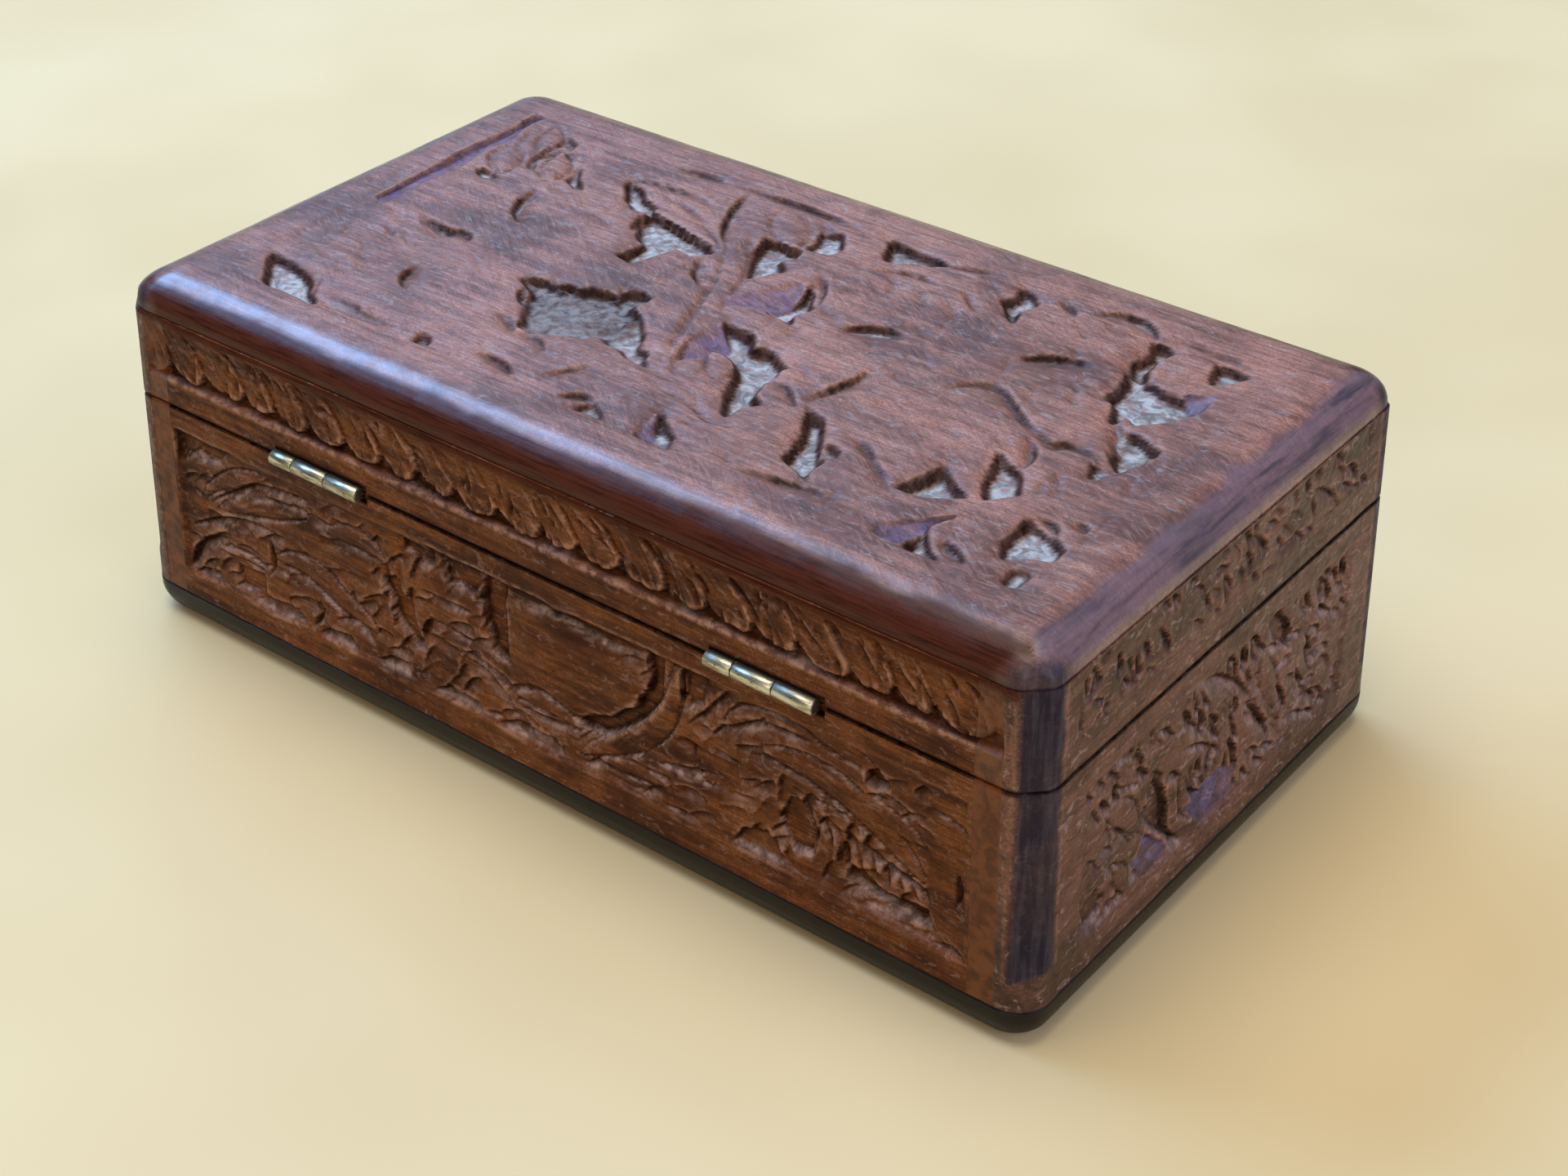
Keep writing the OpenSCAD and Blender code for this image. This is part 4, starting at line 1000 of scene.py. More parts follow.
def end_board(name, side, z_low, z_high, carve, flat_from, carve_shoulder=None):
    """An end board, wrapped round both corners, with a flat planed on each of them."""
    in_lid = carve_shoulder is not None
    path = end_path()
    inner = np.linspace(WIDTH / 2, -WIDTH / 2, 40)
    heights = np.linspace(z_low + EDGE, z_high - EDGE, round((z_high - z_low - 2 * EDGE) / STEP_END) + 1)
    heights = np.concatenate([[z_low], heights, [z_high]])
    along = np.repeat(path[None, :, 0], len(heights), 0)
    out = np.repeat(path[None, :, 1], len(heights), 0)
    nu, nn = path[None, :, 2], path[None, :, 3]
    z = np.repeat(heights[:, None], len(path), 1)
    straight = (np.abs(nu) < 1e-9) & (path[None, :, 4] == 0)
    face = carve(along, z)
    face.h *= np.where(straight, ramp((WIDTH / 2 - CORNER_R - 1 - np.abs(along)) / 2), 0)
    shoulder = (path[:, 4] == 0) & ~straight[0]
    if in_lid:
        beside = -np.sign(along[:, shoulder]) * (LENGTH / 2 + out[:, shoulder])
        cut = carve_shoulder(beside, z[:, shoulder])
        face.h[:, shoulder], face.crest_wear_and_highlight[:, shoulder] = cut.h, cut.crest_wear_and_highlight
    face.h += 0.04 * fractal(along + 3 * out, z, 6, 71) - 0.04
    angle = np.arctan2(nn, np.abs(nu))
    start = flat_from + 1.2 * (angle - math.pi / 4)
    over_start = ramp((z - start) / 1.1)
    pushed = face.h - corner_cut(path[None, :, 4] == 1, angle) * over_start
    pushed[0] -= EDGE
    pushed[-1] -= FINE_EDGE if in_lid else EDGE
    along = along + nu * pushed
    out = LENGTH / 2 + out + nn * pushed
    inner_along = np.repeat(inner[None, 1:-1], len(heights), 0)
    inner_out = np.full(inner_along.shape, LENGTH / 2 - WALL)
    along_all, out_all = np.hstack([along, inner_along]), np.hstack([out, inner_out])
    z_all = np.repeat(heights[:, None], along_all.shape[1], 1)
    points = in_place(side, along_all, out_all, z_all)
    t, n = side_axes(side)
    facing = np.broadcast_to(nu[..., None] * t + nn[..., None] * n, z.shape + (3,))
    marks = surface_marks(points[:, : len(path)], face, facing, STEP_END)
    from_flat = np.where(straight, 90 + 12 * (WIDTH / 2 - CORNER_R - np.abs(along)), np.degrees(angle))
    off_flat = np.abs(from_flat - 56) + 5 * fractal(along + out, z, 5, 72)
    corner_marks(marks, off_flat, (path[None, :, 4] + straight) * over_start)
    marks["plain"] = np.where(shoulder, 0.85, 0) * np.ones_like(z)
    marks["rim"] = np.broadcast_to(np.where(shoulder, 0 if in_lid else 0.7, 0), z.shape)
    # Painted warm shade under the lid's rounded edge
    marks["lid_edge_shade"] = under_lid_shade(z) * (np.abs(nu) > 0.7) * (1 - marks["flat"])
    seam_marks(marks, z)
    marks = {k: np.hstack([m, np.zeros(inner_along.shape)]) for k, m in marks.items()}
    return new_piece(name, points.reshape(-1, 3), loft_faces(*along_all.shape), marks)


def on_rounded_rect(x, y, half_x, half_y, radius):
    """Moves points on a rectangle's outline onto the same outline with round corners."""
    near_x, near_y = half_x - np.abs(x), half_y - np.abs(y)
    on_end = near_x < near_y
    t = np.where(on_end, near_y, near_x) / np.maximum(radius, 1e-9)
    turn = math.pi / 4 * (1 - np.clip(t, 0, 1))
    cx, cy = half_x - radius, half_y - radius
    long_way, short_way = radius * np.cos(turn), radius * np.sin(turn)
    round_x = cx + np.where(on_end, long_way, short_way)
    round_y = cy + np.where(on_end, short_way, long_way)
    in_corner = (t < 1) & (radius > 1e-6)
    new_x = np.where(in_corner, np.sign(x) * round_x, x)
    new_y = np.where(in_corner, np.sign(y) * round_y, y)
    return new_x, new_y


# Half length and half width of the top board's flat
TOP_FLAT = (TOP_L / 2 - TOP_ROUND[0], TOP_W / 2 - TOP_ROUND[0])


def top_sheet():
    """The upper side of the lid's top board: a grid that runs over the rounded edge."""
    half_l, half_w = TOP_L / 2, TOP_W / 2
    turn = np.linspace(0, 90, 19)
    insets = TOP_ROUND[0] * (1 - np.cos(np.radians(turn)))
    drops = TOP_ROUND[1] * (1 - np.sin(np.radians(turn)))
    flat_l, flat_w = TOP_FLAT
    nx, ny = round(2 * flat_l / STEP_TOP), round(2 * flat_w / STEP_TOP)
    line_x = np.linspace(-flat_l, flat_l, nx + 1)
    line_y = np.linspace(-flat_w, flat_w, ny + 1)
    rim_x, rim_y = half_l - insets, half_w - insets
    xs = np.concatenate([-rim_x[:-1], line_x, rim_x[:-1][::-1]])
    ys = np.concatenate([-rim_y[:-1], line_y, rim_y[:-1][::-1]])
    x, y = np.meshgrid(xs, ys, indexing="ij")
    inset = np.minimum(half_l - np.abs(x), half_w - np.abs(y))
    rank_x = np.minimum(np.arange(len(xs)), np.arange(len(xs))[::-1])
    rank_y = np.minimum(np.arange(len(ys)), np.arange(len(ys))[::-1])
    rank = np.minimum(rank_x[:, None], rank_y[None, :])
    rim = rank < len(turn) - 1
    ring = np.where(rim, insets[np.minimum(rank, len(turn) - 1)], inset)
    half_x, half_y = half_l - ring, half_w - ring
    x = np.clip(x, -half_x, half_x)
    y = np.clip(y, -half_y, half_y)
    radius = np.clip(CORNER_R - 0.6 * ring, 1.4, None) * ramp((16 - ring) / 8)
    x, y = on_rounded_rect(x, y, half_x, half_y, radius)
    over = np.abs(x) + np.abs(y) - (half_l + half_w - CORNER_CUT)
    pull = np.clip(over, 0, None) / 2
    x, y = x - np.sign(x) * pull, y - np.sign(y) * pull
    drop = np.where(rim, drops[np.minimum(rank, len(turn) - 1)], 0)
    return x, y, drop, ramp((over + 0.9) / 0.9)


def top_marks(face, points, on_flat, drop, on_cut):
    """Marks of the top board: the carving's on its flat, and on its edge dark polish with painted reflection
    at the corners, painted warm shade along the sides and painted cool reflection along the ends.
    """
    facing = np.broadcast_to(np.array([0, 0, 1.0]), points.shape)
    marks = surface_marks(points, face, facing, STEP_TOP)
    marks = {k: m * (on_flat > 0.5) for k, m in marks.items()}
    x, y = points[..., 0], points[..., 1]
    to_end, to_side = np.abs(x) - TOP_FLAT[0], np.abs(y) - TOP_FLAT[1]
    on_end = ramp((to_end - to_side) / 1.2 + 0.5)
    uneven = 0.35 * fractal(x, y, 7, 82)
    to_corner = np.abs(x) + np.abs(y) - TOP_L / 2 - TOP_W / 2 + 9 + 3 * uneven
    on_cut = np.maximum(on_cut, ramp(to_corner / 4) * ramp((drop - 0.9) / 1.4))
    # Dark polish with painted bluish reflection on the corner cut and the rounding next to it
    marks["flat"] = on_cut
    # Painted warm shade, with less gloss, on the lower part of the long sides' rounded edge
    marks["lid_edge_shade"] = (1 - on_end) * ramp((drop - 0.4 - 0.004 * x + uneven) / 0.7) * (1 - on_cut)
    # Painted cool reflection, in streaks, on the ends' rounded edge
    marks["end_rim_reflection"] = on_end * ramp((drop + uneven) / 0.7) * (1 - 0.7 * ramp((drop - 3) / 2)) * (1 - on_cut)
    marks["rim"] = ramp((drop - 0.02) / 0.3)
    return marks


def sheet_faces(n, m):
    """Quads of a grid, and the numbers of the points round its rim."""
    i, j = np.meshgrid(np.arange(n - 1), np.arange(m - 1), indexing="ij")
    corners = [i * m + j, (i + 1) * m + j, (i + 1) * m + j + 1, i * m + j + 1]
    rim = [*range(0, n * m, m), *range((n - 1) * m + 1, n * m),
           *range((n - 1) * m - 1, 0, -m), *range(m - 2, 0, -1)]
    return np.stack(corners, -1).reshape(-1, 4).tolist(), rim


# Rings below the top board's rim: share of the way down to its underside, and how far inwards
SKIRT = ((0.9, 0), (1, FINE_EDGE), (1, 6))


def top_board():
    """The lid's top board, carved on its panel and rounded at its edge, with a flat underside."""
    x, y, drop, on_cut = top_sheet()
    face = carve_top(-x, -y)
    on_flat = ramp(np.minimum(TOP_FLAT[0] - np.abs(x), TOP_FLAT[1] - np.abs(y)) / 2)
    face.h = face.h * on_flat - (1 - on_flat) * 0.06 * (1 + fractal(x, y, 8, 81)) * (drop < TOP_ROUND[1])
    points = np.stack([x, y, TOP_Z - drop + face.h], -1)
    marks = top_marks(face, points, on_flat, drop, on_cut)
    faces, rim = sheet_faces(*x.shape)
    points = points.reshape(-1, 3)
    rings, ids = [points], [rim]
    for share, inset in SKIRT:
        ring = points[rim]
        ring[:, 2] += (RAIL_TOP - points[rim, 2]) * share
        ring[:, :2] *= (1 - 2 * inset / TOP_L, 1 - 2 * inset / TOP_W)
        ids.append(list(range(sum(map(len, rings)), sum(map(len, rings)) + len(rim))))
        rings.append(ring)
    for upper, lower in zip(ids, ids[1:]):
        for k in range(len(rim)):
            q = (k + 1) % len(rim)
            faces.append([upper[q], upper[k], lower[k], lower[q]])
    faces.append(ids[-1][::-1])
    marks = {k: m.reshape(-1) for k, m in marks.items()}
    marks = {k: np.concatenate([m, m[rim], m[rim]]) for k, m in marks.items()}
    return new_piece("top_board_carved", np.vstack(rings), faces, marks)


def rounded_ring(half_x, half_y, radius, steps):
    """Points of a rectangle's outline with round corners."""
    points = []
    for quarter, (sx, sy) in enumerate(((1, 1), (-1, 1), (-1, -1), (1, -1))):
        for a in np.linspace(0, 90, steps):
            turn = math.radians(a + 90 * quarter)
            points.append((sx * (half_x - radius) + radius * math.cos(turn),
                           sy * (half_y - radius) + radius * math.sin(turn)))
    return np.array(points)


def base_board():
    """The dark base board, with its rounded lower edge and the holes of its nails."""
    steps = 12
    rings = []
    for a in np.linspace(90, 0, steps):
        inset = BASE_ROUND[0] * (1 - math.cos(math.radians(a)))
        z = BASE_ROUND[1] * (1 - math.sin(math.radians(a)))
        rings.append((inset, z))
    rings += [(0, BASE_T - EDGE), (EDGE, BASE_T)]
    points = []
    for inset, z in rings:
        plan = rounded_ring(LENGTH / 2 - inset, WIDTH / 2 - inset, CORNER_R - inset / 3, steps)
        points.append(np.column_stack([plan, np.full(len(plan), z)]))
    points = np.stack(points)
    piece = new_piece("base_board_dark", points.reshape(-1, 3), loft_faces(*points.shape[:2]))
    cut_nail_holes(piece)
    return piece


def cut_nail_holes(piece):
    """Sinks the holes of the nail heads into the underside."""
    drill = bmesh.new()
    radius, depth = NAIL_HOLE
    spots = [(x * LENGTH / 3, y * (WIDTH / 2 - NAIL_INSET)) for x in (-1, 0, 1) for y in (-1, 1)]
    spots += [(x * (LENGTH / 2 - NAIL_INSET), y * WIDTH / 4) for x in (-1, 1) for y in (-1, 1)]
    for x, y in spots:
        middle = Matrix.Translation((x * MM, y * MM, (depth - 0.5) * MM))
        bmesh.ops.create_cone(drill, cap_ends=True, segments=32, radius1=radius * MM, radius2=radius * MM,
                              depth=(depth + 0.5) * MM, matrix=middle)
    drill_out(piece, drill)


def solid_from(build, name):
    """An object made from a working mesh, which is freed."""
    mesh = bpy.data.meshes.new(name)
    build.to_mesh(mesh)
    build.free()
    return linked(bpy.data.objects.new(name, mesh))


def drill_out(piece, drill):
    """Takes the solids of a working mesh out of a piece."""
    tool = solid_from(drill, "drill")
    cut = piece.modifiers.new("holes", "BOOLEAN")
    cut.object = tool
    cut.operation = "DIFFERENCE"
    apply_modifiers(piece)
    bpy.data.objects.remove(tool)


def apply_modifiers(piece):
    """Puts what the modifiers make into the mesh itself."""
    bpy.context.view_layer.update()
    made = bpy.data.meshes.new_from_object(piece.evaluated_get(bpy.context.evaluated_depsgraph_get()))
    piece.modifiers.clear()
    piece.data = made
    made.shade_smooth()
    made.set_sharp_from_angle(angle=math.radians(35))


# Hinges

# Radius of a screw hole at the plate's lower and upper side
SCREW_HOLE = (0.78, 1.53)


def tube(low, high):
    """A knuckle along X about the barrel's axis, with softened ends and the seam of its rolled sheet."""
    sides, seam_side, seam_depth = 40, 27, 0.12
    soft = 0.12
    bore = PIN_R + 0.05
    profile = [(low, bore), (low, BARREL_R - soft), (low + soft, BARREL_R),
               (high - soft, BARREL_R), (high, BARREL_R - soft), (high, bore)]
    points = []
    for x, r in profile:
        for k in range(sides):
            a = 2 * math.pi * k / sides
            seam = seam_depth if k == seam_side and r > PIN_R + 0.1 else 0
            points.append((x, (r - seam) * math.cos(a), (r - seam) * math.sin(a)))
    faces = []
    for i in range(len(profile)):
        q = (i + 1) % len(profile)
        for k in range(sides):
            n = (k + 1) % sides
            faces.append([i * sides + k, i * sides + n, q * sides + n, q * sides + k])
    return points, faces


def plate(screws):
    """A hinge leaf's plate under the seam, from the barrel inwards, with countersunk holes."""
    build = bmesh.new()
    y_high, y_low = -(BARREL_R * 0.55), -(BARREL_R + LEAF_GAP + LEAF_W)
    z_high = -(RAIL_Z - BODY_TOP) / 2
    size = (HINGE_L, y_high - y_low, LEAF_T)
    centre = (0, (y_high + y_low) / 2, z_high - LEAF_T / 2)
    made = bmesh.ops.create_cube(build, size=1)
    for vertex in made["verts"]:
        vertex.co = Vector([c + s * p for c, s, p in zip(centre, size, vertex.co)])
    bmesh.ops.bevel(build, geom=build.edges[:], offset=0.08, segments=2, profile=0.6, affect="EDGES")
    body = solid_from(build, "plate")
    drill = bmesh.new()
    for x in (-SCREW_X, SCREW_X):
        middle = Matrix.Translation((x, -(BARREL_R + LEAF_GAP + LEAF_W / 2), z_high - LEAF_T / 2))
        bmesh.ops.create_cone(drill, cap_ends=True, segments=32, radius1=screws[0], radius2=screws[1],
                              depth=LEAF_T + 0.02, matrix=middle)
    drill_out(body, drill)
    points = [tuple(v.co) for v in body.data.vertices]
    faces = [list(p.vertices) for p in body.data.polygons]
    bpy.data.objects.remove(body)
    return points, faces


def hinge_leaf(side, upper):
    """One leaf of a hinge with its knuckles, as one piece."""
    first, middle, gap = KNUCKLES
    half = HINGE_L / 2
    first_end = half - first
    middle_start = first_end - gap
    middle_end = middle_start - middle
    spans = [(middle_end, middle_start)] if upper else [(first_end, half), (-half, middle_end - gap)]
    points, faces = plate(SCREW_HOLE)
    if upper:
        faces = [f[::-1] for f in faces]
    flip = -1 if upper else 1
    points = [(x, y, flip * z) for x, y, z in points]
    for low, high in spans:
        more, more_faces = tube(low, high)
        faces += [[len(points) + k for k in f] for f in more_faces]
        points += more
    place = np.array([HINGE_X[side], AXIS_Y, SEAM_Z])
    name = f"{side}_hinge_{'lid' if upper else 'body'}_leaf"
    return new_piece(name + "_worn", np.array(points) + place, faces), name


# Materials

# Pairs of colours that are mixed on the corner flats (dark polish with painted bluish reflection), the plain
# shoulders and the lid's edge (painted warm shade)
DARK_POLISH_AND_REFLECTION = (0.014, 0.012, 0.024), (0.04, 0.036, 0.048)
PLAIN = (0.08, 0.022, 0.006), (0.16, 0.047, 0.012)
LID_EDGE_SHADE = (0.03, 0.006, 0.003), (0.07, 0.017, 0.008)
# Painted cool sheen on polished slopes
COOL_SHEEN = (0.13, 0.115, 0.28)
# Painted cool reflection on the lid's end rims
END_RIM_REFLECTION = (0.14, 0.1, 0.14)

# Dust and painted pale glints, worn edges and painted highlights, and dark, middle and light wood
TOP_DUST_AND_GLINT, SIDE_DUST_AND_GLINT = (0.34, 0.35, 0.36), (0.34, 0.22, 0.19)
TOP_WEAR_AND_HIGHLIGHT, SIDE_WEAR_AND_HIGHLIGHT = (0.4, 0.22, 0.17), (0.4, 0.2, 0.13)
SIDE_TONES = ((0.05, 0.011, 0.004), (0.14, 0.04, 0.012), (0.24, 0.078, 0.022))
END_TONES = ((0.05, 0.014, 0.009), (0.13, 0.044, 0.026), (0.2, 0.08, 0.05))
TOP_TONES = ((0.14, 0.052, 0.039), (0.285, 0.12, 0.087), (0.4, 0.18, 0.13))

# Least roughness, gloss, gloss of the smooth rims, depth of the fine relief, and how flecked the wood is
LONG_FINISH = (0.4, 0.1, 0.1, 0.2, 0.5)
END_FINISH = (0.4, 0.35, 0.15, 0.2, 0.9)
TOP_FINISH = (0.38, 0.26, 0.8, 0.1, 0.45)


class Paint:
    """A material that is put together from nodes."""

    def __init__(self, name):
        self.material = bpy.data.materials.new(name)
        self.material.use_nodes = True
        self.tree = self.material.node_tree
        self.shader = self.tree.nodes["Principled BSDF"]
        self.place = self.node("ShaderNodeTexCoord").outputs["Object"]

    def node(self, kind, **settings):
        made = self.tree.nodes.new(kind)
        for key, value in settings.items():
            setattr(made, key, value)
        return made

    def feed(self, socket, value):
        if isinstance(value, bpy.types.NodeSocket):
            self.tree.links.new(value, socket)
        else:
            socket.default_value = value

    def stretched(self, scale, turn=0):
        """Coordinates in millimetres times a scale for each axis, turned about Z first."""
        place = self.place
        if turn:
            turned_place = self.node("ShaderNodeMapping")
            self.feed(turned_place.inputs["Vector"], place)
            turned_place.inputs["Rotation"].default_value = (0, 0, math.radians(turn))
            place = turned_place.outputs["Vector"]
        made = self.node("ShaderNodeMapping")
        self.feed(made.inputs["Vector"], place)
        made.inputs["Scale"].default_value = [s / MM for s in scale]
        return made.outputs["Vector"]

    def noise(self, scale, detail=3, rough=0.55, warp=0, turn=0):
        made = self.node("ShaderNodeTexNoise")
        self.feed(made.inputs["Vector"], self.stretched(scale, turn))
        made.inputs["Scale"].default_value = 1
        made.inputs["Detail"].default_value = detail
        made.inputs["Roughness"].default_value = rough
        made.inputs["Distortion"].default_value = warp
        return made.outputs["Fac"]

    def cells(self, scale):
        made = self.node("ShaderNodeTexVoronoi")
        self.feed(made.inputs["Vector"], self.stretched(scale))
        made.inputs["Scale"].default_value = 1
        return made.outputs["Distance"]

    def mark(self, name):
        return self.node("ShaderNodeAttribute", attribute_name=name).outputs["Fac"]

    def math(self, operation, a, b):
        made = self.node("ShaderNodeMath", operation=operation)
        self.feed(made.inputs[0], a)
        self.feed(made.inputs[1], b)
        return made.outputs[0]

    def times(self, a, b):
        return self.math("MULTIPLY", a, b)

    def rest_of(self, share):
        """What a share leaves of 1."""
        return self.math("SUBTRACT", 1.0, share)

    def between(self, value, low, high, to_low=0.0, to_high=1.0):
        """A value taken from one range to another, kept within it."""
        made = self.node("ShaderNodeMapRange", interpolation_type="SMOOTHSTEP")
        self.feed(made.inputs["Value"], value)
        for key, number in (("From Min", low), ("From Max", high), ("To Min", to_low), ("To Max", to_high)):
            made.inputs[key].default_value = number
        return made.outputs["Result"]

    def blend(self, share, a, b):
        """One of two numbers, or something between."""
        made = self.node("ShaderNodeMix", data_type="FLOAT")
        for socket, value in zip((made.inputs[0], made.inputs[2], made.inputs[3]), (share, a, b)):
            self.feed(socket, value)
        return made.outputs[0]

    def mix(self, share, a, b):
        made = self.node("ShaderNodeMix", data_type="RGBA")
        for socket, value in zip((made.inputs[0], made.inputs[6], made.inputs[7]), (share, a, b)):
            self.feed(socket, (*value, 1) if isinstance(value, tuple) else value)
        return made.outputs[2]

    def colour(self, value):
        self.feed(self.shader.inputs["Base Color"], value)

    def set(self, **numbers):
        for key, number in numbers.items():
            self.shader.inputs[key.replace("_", " ").title().replace("Ior", "IOR")].default_value = number

    def bump(self, height, distance):
        made = self.node("ShaderNodeBump")
        made.inputs["Strength"].default_value = 1
        made.inputs["Distance"].default_value = distance * MM
        self.feed(made.inputs["Height"], height)
        self.feed(self.shader.inputs["Normal"], made.outputs[0])


def shaded(colour, share):
    """A colour made darker or lighter."""
    return tuple(share * c for c in colour)


def along_grain(grain_axis, across, along):
    """Scales of a noise for the three axes, with its own one along the grain."""
    scales = [across] * 3
    scales[grain_axis] = along
    return scales


def wood_noises(paint, grain_axis):
    """The noises that several looks of the wood share."""
    return SimpleNamespace(
        bands=paint.noise(along_grain(grain_axis, 0.5, 0.03), 4, 0.55, 0.4),
        fibres=paint.noise(along_grain(grain_axis, 2.4, 0.12), 3, 0.6),
        patches=paint.noise((0.07, 0.07, 0.07), 3, 0.6),
        speck=paint.noise((0.6, 0.6, 0.6), 4, 0.6),
        crumbs=paint.noise((0.34, 0.34, 0.34), 4, 0.62, 1),
    )


def wood_grain(paint, noises, tones, fur):
    """Colour and fine relief of the bare wood: bands, patches, clouds, fibres and grit."""
    dark, mid, light = tones
    clouds = paint.noise((0.045, 0.045, 0.045), 4, 0.65, 0.5)
    grit = paint.noise((2.6, 2.6, 2.6), 3, 0.7)
    tone = paint.mix(paint.between(noises.bands, 0.36, 0.62), dark, light)
    tone = paint.mix(paint.between(noises.patches, 0.35, 0.65, 0.05, 0.6), tone, mid)
    tone = paint.mix(paint.between(clouds, 0.5, 0.66, 0, 0.7), tone, shaded(dark, 0.5))
    tone = paint.mix(paint.between(clouds, 0.5, 0.36, 0, 0.6), tone, shaded(light, 1.3))
    tone = paint.mix(paint.between(noises.fibres, 0.3, 0.6, 0.55, 0), tone, shaded(dark, 0.3))
    height = paint.math("ADD", paint.times(noises.fibres, 0.4), paint.times(noises.speck, 0.8))
    if fur is not None:
        one, other = (paint.noise((0.2, 1.5, 1.5), 4, 0.65, 0.8, turn=turn) for turn in fur)
        hairs = paint.blend(paint.between(noises.patches, 0.45, 0.55), one, other)
        pale = tuple(1.4 * c + 0.02 for c in light)
        tone = paint.mix(paint.between(hairs, 0.45, 0.7, 0, 0.3), tone, pale)
        tone = paint.mix(paint.between(hairs, 0.3, 0.5, 0.35, 0), tone, shaded(dark, 0.6))
        height = paint.math("ADD", height, hairs)
    return paint.mix(paint.between(grit, 0.42, 0.62, 0.45, 0), tone, shaded(mid, 0.35)), height


def wood_flecks(paint, grain_axis, tone, height, dark, glint, flecked):
    """Adds dark pits and painted pale glints, except on smooth rims, and facets in the relief."""
    fleck = paint.noise(along_grain(grain_axis, 0.75, 0.38), 3, 0.6, 1.2)
    rough_ground = paint.rest_of(paint.mark("rim"))
    pits = paint.times(paint.between(fleck, 0.3, 0.45, 0.75 * flecked, 0), rough_ground)
    tone = paint.mix(pits, tone, shaded(dark, 0.3))
    # Painted pale glints in the dust colour
    glints = paint.times(paint.between(fleck, 0.56, 0.68, 0, 0.6 * flecked), rough_ground)
    tone = paint.mix(glints, tone, glint)
    facets = paint.cells((0.5, 0.5, 0.62))
    return tone, paint.math("ADD", height, paint.times(facets, 1.1 * flecked))


def age(paint, noises, tone, dark, dust_and_glint_colour, wear_and_highlight_colour):
    """Adds worn edges with painted highlights, painted shade and wax in the cuts and dust on the floors;
    returns the shade-and-wax share and the dust too.
    """
    speck = noises.speck
    wear_and_highlight = paint.times(paint.mark("wear_and_highlight"), paint.between(speck, 0.4, 0.58, 0.15, 0.9))
    tone = paint.mix(wear_and_highlight, tone, wear_and_highlight_colour)
    # Painted shade and dark wax in the cuts
    wax_and_painted_shade = paint.times(paint.mark("dark"), paint.between(speck, 0.3, 0.65, 1, 0.75))
    tone = paint.mix(wax_and_painted_shade, tone, shaded(dark, 0.12))
    dust = paint.times(paint.mark("dust"), paint.between(speck, 0.36, 0.56, 0.3, 0.95))
    crumbly = paint.between(noises.crumbs, 0.36, 0.62)
    dust_tone = paint.mix(crumbly, shaded(dust_and_glint_colour, 0.45), shaded(dust_and_glint_colour, 1.3))
    return paint.mix(dust, tone, dust_tone), wax_and_painted_shade, dust


def handled(paint, noises, tone):
    """Adds plain places, corner flats of dark polish with painted reflection, polished slopes with painted
    sheen, painted cool reflection on end rims and painted warm shade on the lid's edge; returns the corner
    flats' share too.
    """
    plain_tone = paint.mix(paint.between(noises.bands, 0.36, 0.62), *PLAIN)
    tone = paint.mix(paint.mark("plain"), tone, plain_tone)
    smear = paint.between(paint.noise((0.9, 0.9, 0.1), 3, 0.6, 0.5), 0.4, 0.66)
    # Corner flats: dark polish with painted bluish reflection
    flat_polish_and_reflection = paint.times(paint.mark("flat"), paint.between(noises.patches, 0.3, 0.6, 0.95, 0.8))
    tone = paint.mix(flat_polish_and_reflection, tone, paint.mix(smear, *DARK_POLISH_AND_REFLECTION))
    # Painted cool sheen on polished slopes
    sheen = paint.times(paint.mark("polish_and_reflection"), paint.between(noises.speck, 0.3, 0.6, 0.9, 0.5))
    crumbly = paint.between(noises.crumbs, 0.36, 0.6)
    tone = paint.mix(sheen, tone, paint.mix(crumbly, shaded(COOL_SHEEN, 0.3), COOL_SHEEN))
    # Painted cool reflection in streaks on the lid's end rims
    streaks = paint.noise((0.5, 0.06, 0.8), 3, 0.6, 0.3)
    end_rim_reflection = paint.times(paint.mark("end_rim_reflection"), paint.between(streaks, 0.3, 0.5, 1, 0.75))
    tone = paint.mix(end_rim_reflection, tone, paint.mix(paint.between(streaks, 0.3, 0.6, 0.3, 1), DARK_POLISH_AND_REFLECTION[0], END_RIM_REFLECTION))
    # Painted warm shade on the lid's edge
    lid_edge_shade_tone = paint.mix(paint.between(noises.fibres, 0.3, 0.6), *LID_EDGE_SHADE)
    return paint.mix(paint.mark("lid_edge_shade"), tone, lid_edge_shade_tone), flat_polish_and_reflection


